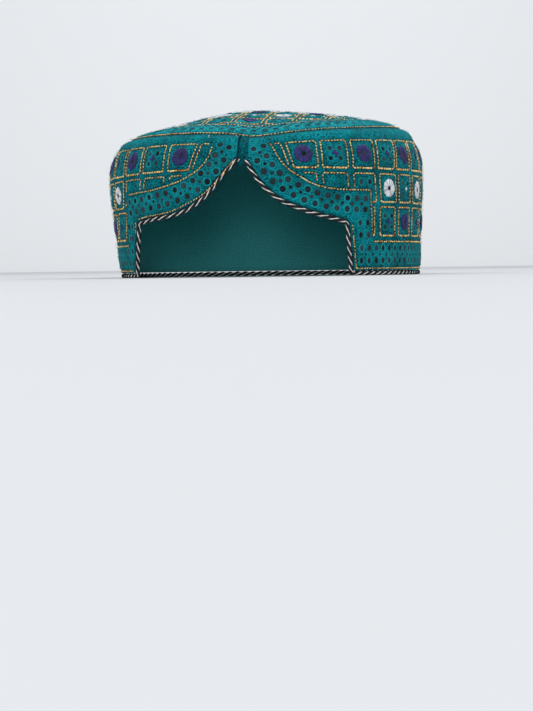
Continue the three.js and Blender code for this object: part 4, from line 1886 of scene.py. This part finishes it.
@dataclass
class EdgeCord:
    """The cord of four twisted plies, two black and two white, along the lower edge.

    A ply's lumps are given by their share of its thickness and their length.
    """

    form: CapForm
    outline: EdgeOutline
    step: float = 0.72
    sides: int = 8
    rim_pitch: float = 9.6
    lobe_pitch: float = 13.0
    rim_twist_height: float = 10.0
    twist_fade: float = 16.0
    orbit_share: float = 0.585
    ply_share: float = 0.43
    white_share: float = 0.56
    black_share: float = 1.34
    white_lump: tuple[float, float] = (0.26, 0.53)
    black_lump: tuple[float, float] = (0.06, 3.1)

    def path(self) -> tuple[Array, Array, Array]:
        """The cord's middle line.

        Returns:
            Points, and two directions across it.
        """
        line = even(self.outline.cord_line(), self.step)
        angle, height = line[:, 0] / self.form.arc, line[:, 1]
        t = height / self.form.seam(angle)
        out = self.form.normal(angle, t)
        out[:, 2] = 0
        out = unit(out)
        point = self.form.wall_point(angle, t) - out * self.form.wall / 2
        point[:, 2] = height
        tangent = unit(np.gradient(point, axis=0))
        side = unit(out - tangent * (out * tangent).sum(-1, keepdims=True))
        return point, side, np.cross(tangent, side)

    def plies(self, finishes: Finishes) -> Object:
        """All four plies as one piece."""
        point, side, over = self.path()
        on_rim = np.clip(1 - (point[:, 2] - self.rim_twist_height) / self.twist_fade, 0, 1)
        pitch = self.lobe_pitch + (self.rim_pitch - self.lobe_pitch) * on_rim
        step = np.linalg.norm(np.diff(point, axis=0), axis=1)
        phase = np.concatenate([[0], np.cumsum(2 * math.pi * step / pitch[1:])])
        radius = self.form.cord / 2
        orbit, ply = radius * self.orbit_share, radius * self.ply_share
        parts = MeshParts()
        turn = turns(self.sides)
        at = lengths(point)
        for number in range(4):
            white = number % 2 == 0
            a = -phase + number * math.pi / 2
            centre = point + orbit * (side * np.cos(a)[:, None] + over * np.sin(a)[:, None])
            along = unit(np.gradient(centre, axis=0))
            first = unit(side - along * (side * along).sum(-1, keepdims=True))
            second = np.cross(along, first)
            share = self.white_share if white else self.black_share
            lump, length = self.white_lump if white else self.black_lump
            start = number if white else number * 2
            fat = ply * share * (1 + lump * np.sin(at / length + start))
            ring = first[:, None] * np.cos(turn)[:, None] + second[:, None] * np.sin(turn)[:, None]
            body = centre[:, None] + ring * fat[:, None, None]
            caps = centre[[0, -1]] + along[[0, -1]] * ((-0.5,), (0.5,))
            points = np.concatenate([body.reshape(-1, 3), caps])
            count = len(point)
            last = count * self.sides
            faces = [lathe_faces(count, self.sides), fan(last, 0, self.sides, True),
                     fan(last + 1, last - self.sides, self.sides)]
            uv = np.stack(np.broadcast_arrays(at[:, None], turn[None]), -1).reshape(-1, 2)
            uv = np.concatenate([uv, [[0, 0]], [[0, 0]]])
            tone = np.clip(0.5 + 0.16 * rough_noise(points, 4.0, 20 + number), 0, 1)
            parts.add(points, [block[:, ::-1] for block in faces], uv, tone, 0 if white else 1)
        return parts.make("edge_cord_plies", [finishes.white_ply.material(), finishes.black_ply.material()])


def fibre_body() -> tuple[Array, list[Array]]:
    """One curved fibre, 1 long, that leaves the cloth along x and z."""
    line = np.array([(0.0, 0.0, -0.05), (0.45, 0.02, 0.33), (1.0, 0.04, 0.3)])
    turn = turns(3)
    rings = [spot + 0.028 * (1 - 0.25 * k) * np.stack([-0.5 * np.sin(turn), np.cos(turn), np.sin(turn)], -1)
             for k, spot in enumerate(line)]
    return np.concatenate([*rings, line[-1:]]), [lathe_faces(3, 3, True), fan(9, 6, 3)]


class HangingThread(NamedTuple):
    """A loose thread: where it leaves the cloth, its length and its turn from straight down."""

    angle: float
    height: float
    length: float
    turn: float


WHITE_THREADS = (
    HangingThread(-12.7, 73.5, 5.0, 14.0),
    HangingThread(-2.5, 73.0, 2.8, 20.0),
    HangingThread(8.3, 72.3, 1.5, 0.0),
    HangingThread(10.5, 71.5, 1.2, 40.0),
)
FRAYED_THREADS = (
    HangingThread(74.0, 3.2, 4.6, 70.0),
    HangingThread(74.6, 3.0, 3.8, 58.0),
    HangingThread(75.5, 2.8, 4.4, 82.0),
    HangingThread(76.4, 3.0, 3.2, 65.0),
)


@dataclass
class LooseFibres:
    """The fuzz that stands off the stitching, and a few cut and frayed threads."""

    form: CapForm
    band_fibres: int = 3800
    crown_fibres: int = 2300
    seed: int = 31

    def fuzz(self, chart: Chart, u: Array, v: Array, parts: MeshParts) -> None:
        """Short fibres at places on a chart, lying every way.

        Args:
            chart: the chart.
            u: places along its first direction.
            v: places along its second direction.
            parts: the piece that gets them.
        """
        rng = np.random.default_rng(self.seed)
        points, across, _, normal = chart.axes(u, v)
        turn = rng.uniform(0, 2 * math.pi, len(u))[:, None]
        across = unit(across)
        way = across * np.cos(turn) + np.cross(normal, across) * np.sin(turn)
        axes = np.stack([way, np.cross(normal, way), normal], 1)
        size = np.repeat(rng.uniform(0.7, 2.3, len(u))[:, None], 3, 1)
        body, faces = fibre_body()
        made, blocks = stamp(body, faces, points + normal * chart.puff * 0.8, axes, size)
        parts.add(made, blocks, tone=np.repeat(rng.uniform(0, 1, len(u)), len(body)))

    def teal(self, outline: EdgeOutline, finishes: Finishes) -> Object:
        """All the teal fuzz and the frayed thread at the rim as one piece."""
        rng = np.random.default_rng(self.seed + 1)
        edge = outline.cord_line()
        u = rng.uniform(0, FULL_TURN * self.form.arc, self.band_fibres)
        low = np.interp(u, edge[:, 0], edge[:, 1]) + self.form.cord
        v = low + (self.form.seam(u / self.form.arc) - low) * rng.uniform(0, 1, self.band_fibres)
        parts = MeshParts()
        self.fuzz(BandChart(self.form, plain=True), u, v, parts)
        reach = 0.97 * WALL_SECTIONS[-1].out * np.sqrt(rng.uniform(0, 1, self.crown_fibres))
        turn = rng.uniform(0, 2 * math.pi, self.crown_fibres)
        x, y = self.form.half_width * reach * np.sin(turn), self.form.half_length * reach * np.cos(turn)
        self.fuzz(CrownChart(self.form), x, y, parts)
        self.hang(FRAYED_THREADS, parts)
        return parts.make("loose_teal_fibres", [finishes.teal.material()])

    def hang(self, threads: Sequence[HangingThread], parts: MeshParts) -> None:
        """Loose threads that hang down the wall."""
        angle, height, length, turn = np.array(threads).T
        t = height / self.form.seam(angle)
        point, normal = self.form.wall_point(angle, t), self.form.normal(angle, t)
        across = unit(np.cross((0, 0, 1), normal))
        turn = np.radians(turn)[:, None]
        way = across * np.sin(turn) - np.cross(normal, across) * np.cos(turn)
        axes = np.stack([way, np.cross(normal, way), normal], 1)
        size = length[:, None] * (1.0, 1.7, 0.8)
        body, faces = fibre_body()
        made, blocks = stamp(body, faces, point + normal * 0.5, axes, size)
        parts.add(made, blocks, tone=1.0)

    def white(self, finishes: Finishes) -> Object:
        """The white thread ends under the crown seam."""
        parts = MeshParts()
        self.hang(WHITE_THREADS, parts)
        return parts.make("loose_white_threads", [finishes.white_ply.material()])


class SoftBox(NamedTuple):
    """A square soft light. Places are metres from the cap's middle: right, towards the camera, up."""

    name: str
    place: tuple[float, float, float]
    size: float
    power: float
    colour: str
    aim: tuple[float, float, float]


CAP_MIDDLE = (0.0, 0.0, 0.05)
SOFT_BOXES = (
    SoftBox("key", (-0.9, 1.4, 1.5), 1.3, 12.0, "#FFFFFF", CAP_MIDDLE),
    SoftBox("fill", (1.5, 1.3, 0.8), 1.4, 5.0, "#FFF4EE", CAP_MIDDLE),
    SoftBox("top", (0.7, -0.4, 1.8), 1.6, 11.5, "#F4F8FF", CAP_MIDDLE),
    SoftBox("front", (-0.1, 2.4, 0.3), 0.5, 8.5, "#FFFFFF", CAP_MIDDLE),
    SoftBox("backdrop", (0.0, -5.0, 3.4), 3.0, 70.0, "#FFFFFF", (0.0, -7.6, 1.2)),
)


@dataclass
class Studio:
    """A plain pale floor and backdrop, soft light, and the camera at the photograph's angle.

    One of the photograph's pixels is pixel millimetres wide at the cap, whose rim's middle is at
    cap_middle in it. The floor is flat out to floor_reach metres and bends up over floor_bend.
    """

    azimuth: float = 8.7
    distance: float = 1100.0
    camera_height: float = 5.0
    pixel: float = 0.563
    cap_middle: tuple[float, float] = (267.4, 276.0)
    roll: float = -0.75
    sensor: float = 36.0
    backdrop: str = "#D2D4D6"
    air: str = "#E6E8EA"
    air_strength: float = 0.95
    floor_reach: float = 5.0
    floor_bend: float = 2.5
    floor_sides: int = 96

    def spot(self, right: float, back: float, up: float) -> Vector:
        """A place as the camera sees it: to the right, towards the camera and up."""
        turn = math.radians(self.azimuth)
        return Vector((
            right * math.cos(turn) + back * math.sin(turn),
            right * math.sin(turn) - back * math.cos(turn),
            up,
        ))

    def camera(self) -> None:
        """Makes the camera, framed as the photograph is."""
        wide, high = PHOTO_SIZE
        data = bpy.data.cameras.new("camera")
        data.sensor_width = self.sensor
        data.lens = self.sensor * self.distance / self.pixel / high
        data.clip_start, data.clip_end = 0.001, 50
        camera = add_object("camera", data)
        place = self.spot(0, self.distance, self.camera_height)
        x, y = wide / 2 - self.cap_middle[0], high / 2 - self.cap_middle[1]
        roll = math.radians(self.roll)
        across = (x * math.cos(roll) + y * math.sin(roll)) * self.pixel
        down = (y * math.cos(roll) - x * math.sin(roll)) * self.pixel
        camera.location = place * MM
        camera.rotation_mode = "QUATERNION"
        straight = (self.spot(across, 0, -down) - place).to_track_quat("-Z", "Y")
        camera.rotation_quaternion = straight @ Quaternion((0, 0, 1), roll)
        bpy.context.scene.camera = camera

    def floor(self) -> None:
        """Makes the floor, curved up all round into a low wall far away."""
        bend, sides = self.floor_bend, self.floor_sides
        rows = [(0.5, 0.0), (2.0, 0.0)]
        for a in np.linspace(0, math.pi / 2, 18):
            rows.append((self.floor_reach + bend * math.sin(a), bend * (1 - math.cos(a))))
        rings = [circle(turns(sides), out, up) for out, up in rows]
        points = np.concatenate([*rings, [[0, 0, 0]]])
        faces = [*lathe_faces(len(rows), sides, True).tolist(), *fan(len(rows) * sides, 0, sides).tolist()]
        mesh = bpy.data.meshes.new("floor")
        mesh.from_pydata(points.tolist(), [], faces)
        for polygon in mesh.polygons:
            polygon.use_smooth = True
        floor = add_object("floor", mesh)
        material, tree = new_material("matt_paper_backdrop")
        close_material(tree, {"Base Color": linear(self.backdrop), "Roughness": 0.95,
                              "Specular IOR Level": 0.1})
        mesh.materials.append(material)

    def light(self, box: SoftBox) -> None:
        """Makes one soft box, turned towards its aim."""
        data = bpy.data.lights.new(box.name, "AREA")
        data.shape, data.size, data.size_y = "RECTANGLE", box.size, box.size
        data.energy = box.power
        data.color = linear(box.colour)[:3]
        lamp = add_object(box.name, data)
        lamp.location = self.spot(*box.place)
        lamp.rotation_mode = "QUATERNION"
        lamp.rotation_quaternion = (self.spot(*box.aim) - lamp.location).to_track_quat("-Z", "Y")

    def build(self) -> None:
        """Sets the camera, floor, lights and the view's plain colours."""
        self.camera()
        self.floor()
        world = bpy.data.worlds.new("studio")
        world.use_nodes = True
        background = world.node_tree.nodes["Background"]
        background.inputs["Color"].default_value = linear(self.air)
        background.inputs["Strength"].default_value = self.air_strength
        bpy.context.scene.world = world
        for box in SOFT_BOXES:
            self.light(box)
        bpy.context.scene.view_settings.view_transform = "Standard"


def settle(piece: Object, slot: str, *nodes: str) -> None:
    """Puts a piece on the cap's body and hides the model's parts that it stands for."""
    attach(piece, ROOT)
    if nodes:
        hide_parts(*nodes)


def main() -> None:
    """Builds the cap around the frame and reports each piece."""
    logging.basicConfig(level=logging.INFO, format="%(name)s: %(message)s", stream=sys.stdout)
    form = CapForm()
    outline = EdgeOutline(form)
    Studio().build()
    finishes = Finishes()
    band, crown = BandPattern(form, outline), CrownPattern(form)
    band.draw()
    crown.draw()
    relief = Relief()
    sewing = Embroiderer(relief)
    for pattern in (band, crown):
        sewing.note(pattern.strokes, pattern.eyelets)
    relief.settle()
    settle(SideBand(form, outline, relief).cloth(finishes), "band_cloth", "side_band")
    settle(Crown(form, relief).cloth(finishes), "crown_cloth", "crown")
    settle(EdgeCord(form, outline).plies(finishes), "edge_cord", "edge_cord")
    loose = LooseFibres(form)
    settle(loose.teal(outline, finishes), "band_cloth")
    settle(loose.white(finishes), "edge_cord")
    gold = finishes.gold.material()
    dark, teal = finishes.dark.material(), finishes.teal.material()
    silks = {Floss.PURPLE: finishes.purple.material(), Floss.WHITE: finishes.white.material()}
    slots = {Floss.PURPLE: "purple_silk", Floss.WHITE: "white_silk"}
    for where, pattern in (("band", band), ("crown", crown)):
        lines, hearts, rings = MeshParts(), MeshParts(), MeshParts()
        sewing.lines(lines, pattern.strokes)
        settle(lines.make(f"{where}_gold_lines", [gold]), "gold_thread")
        sewing.hearts(hearts, pattern.eyelets)
        settle(hearts.make(f"{where}_eyelet_hearts", [dark]), "dark_thread")
        sewing.rings(rings, pattern.eyelets)
        settle(rings.make(f"{where}_eyelet_rings", [teal]), f"{where}_cloth")
        for floss, material in silks.items():
            silk = MeshParts()
            for motif in pattern.motifs:
                if motif.floss != floss:
                    continue
                if motif.radius > SMALLEST_ROSETTE:
                    sewing.rosette(silk, motif)
                else:
                    sewing.cross(silk, motif)
            settle(silk.make(f"{where}_{floss.value}_silk", [material]), slots[floss])


if __name__ == "__main__":
    main()
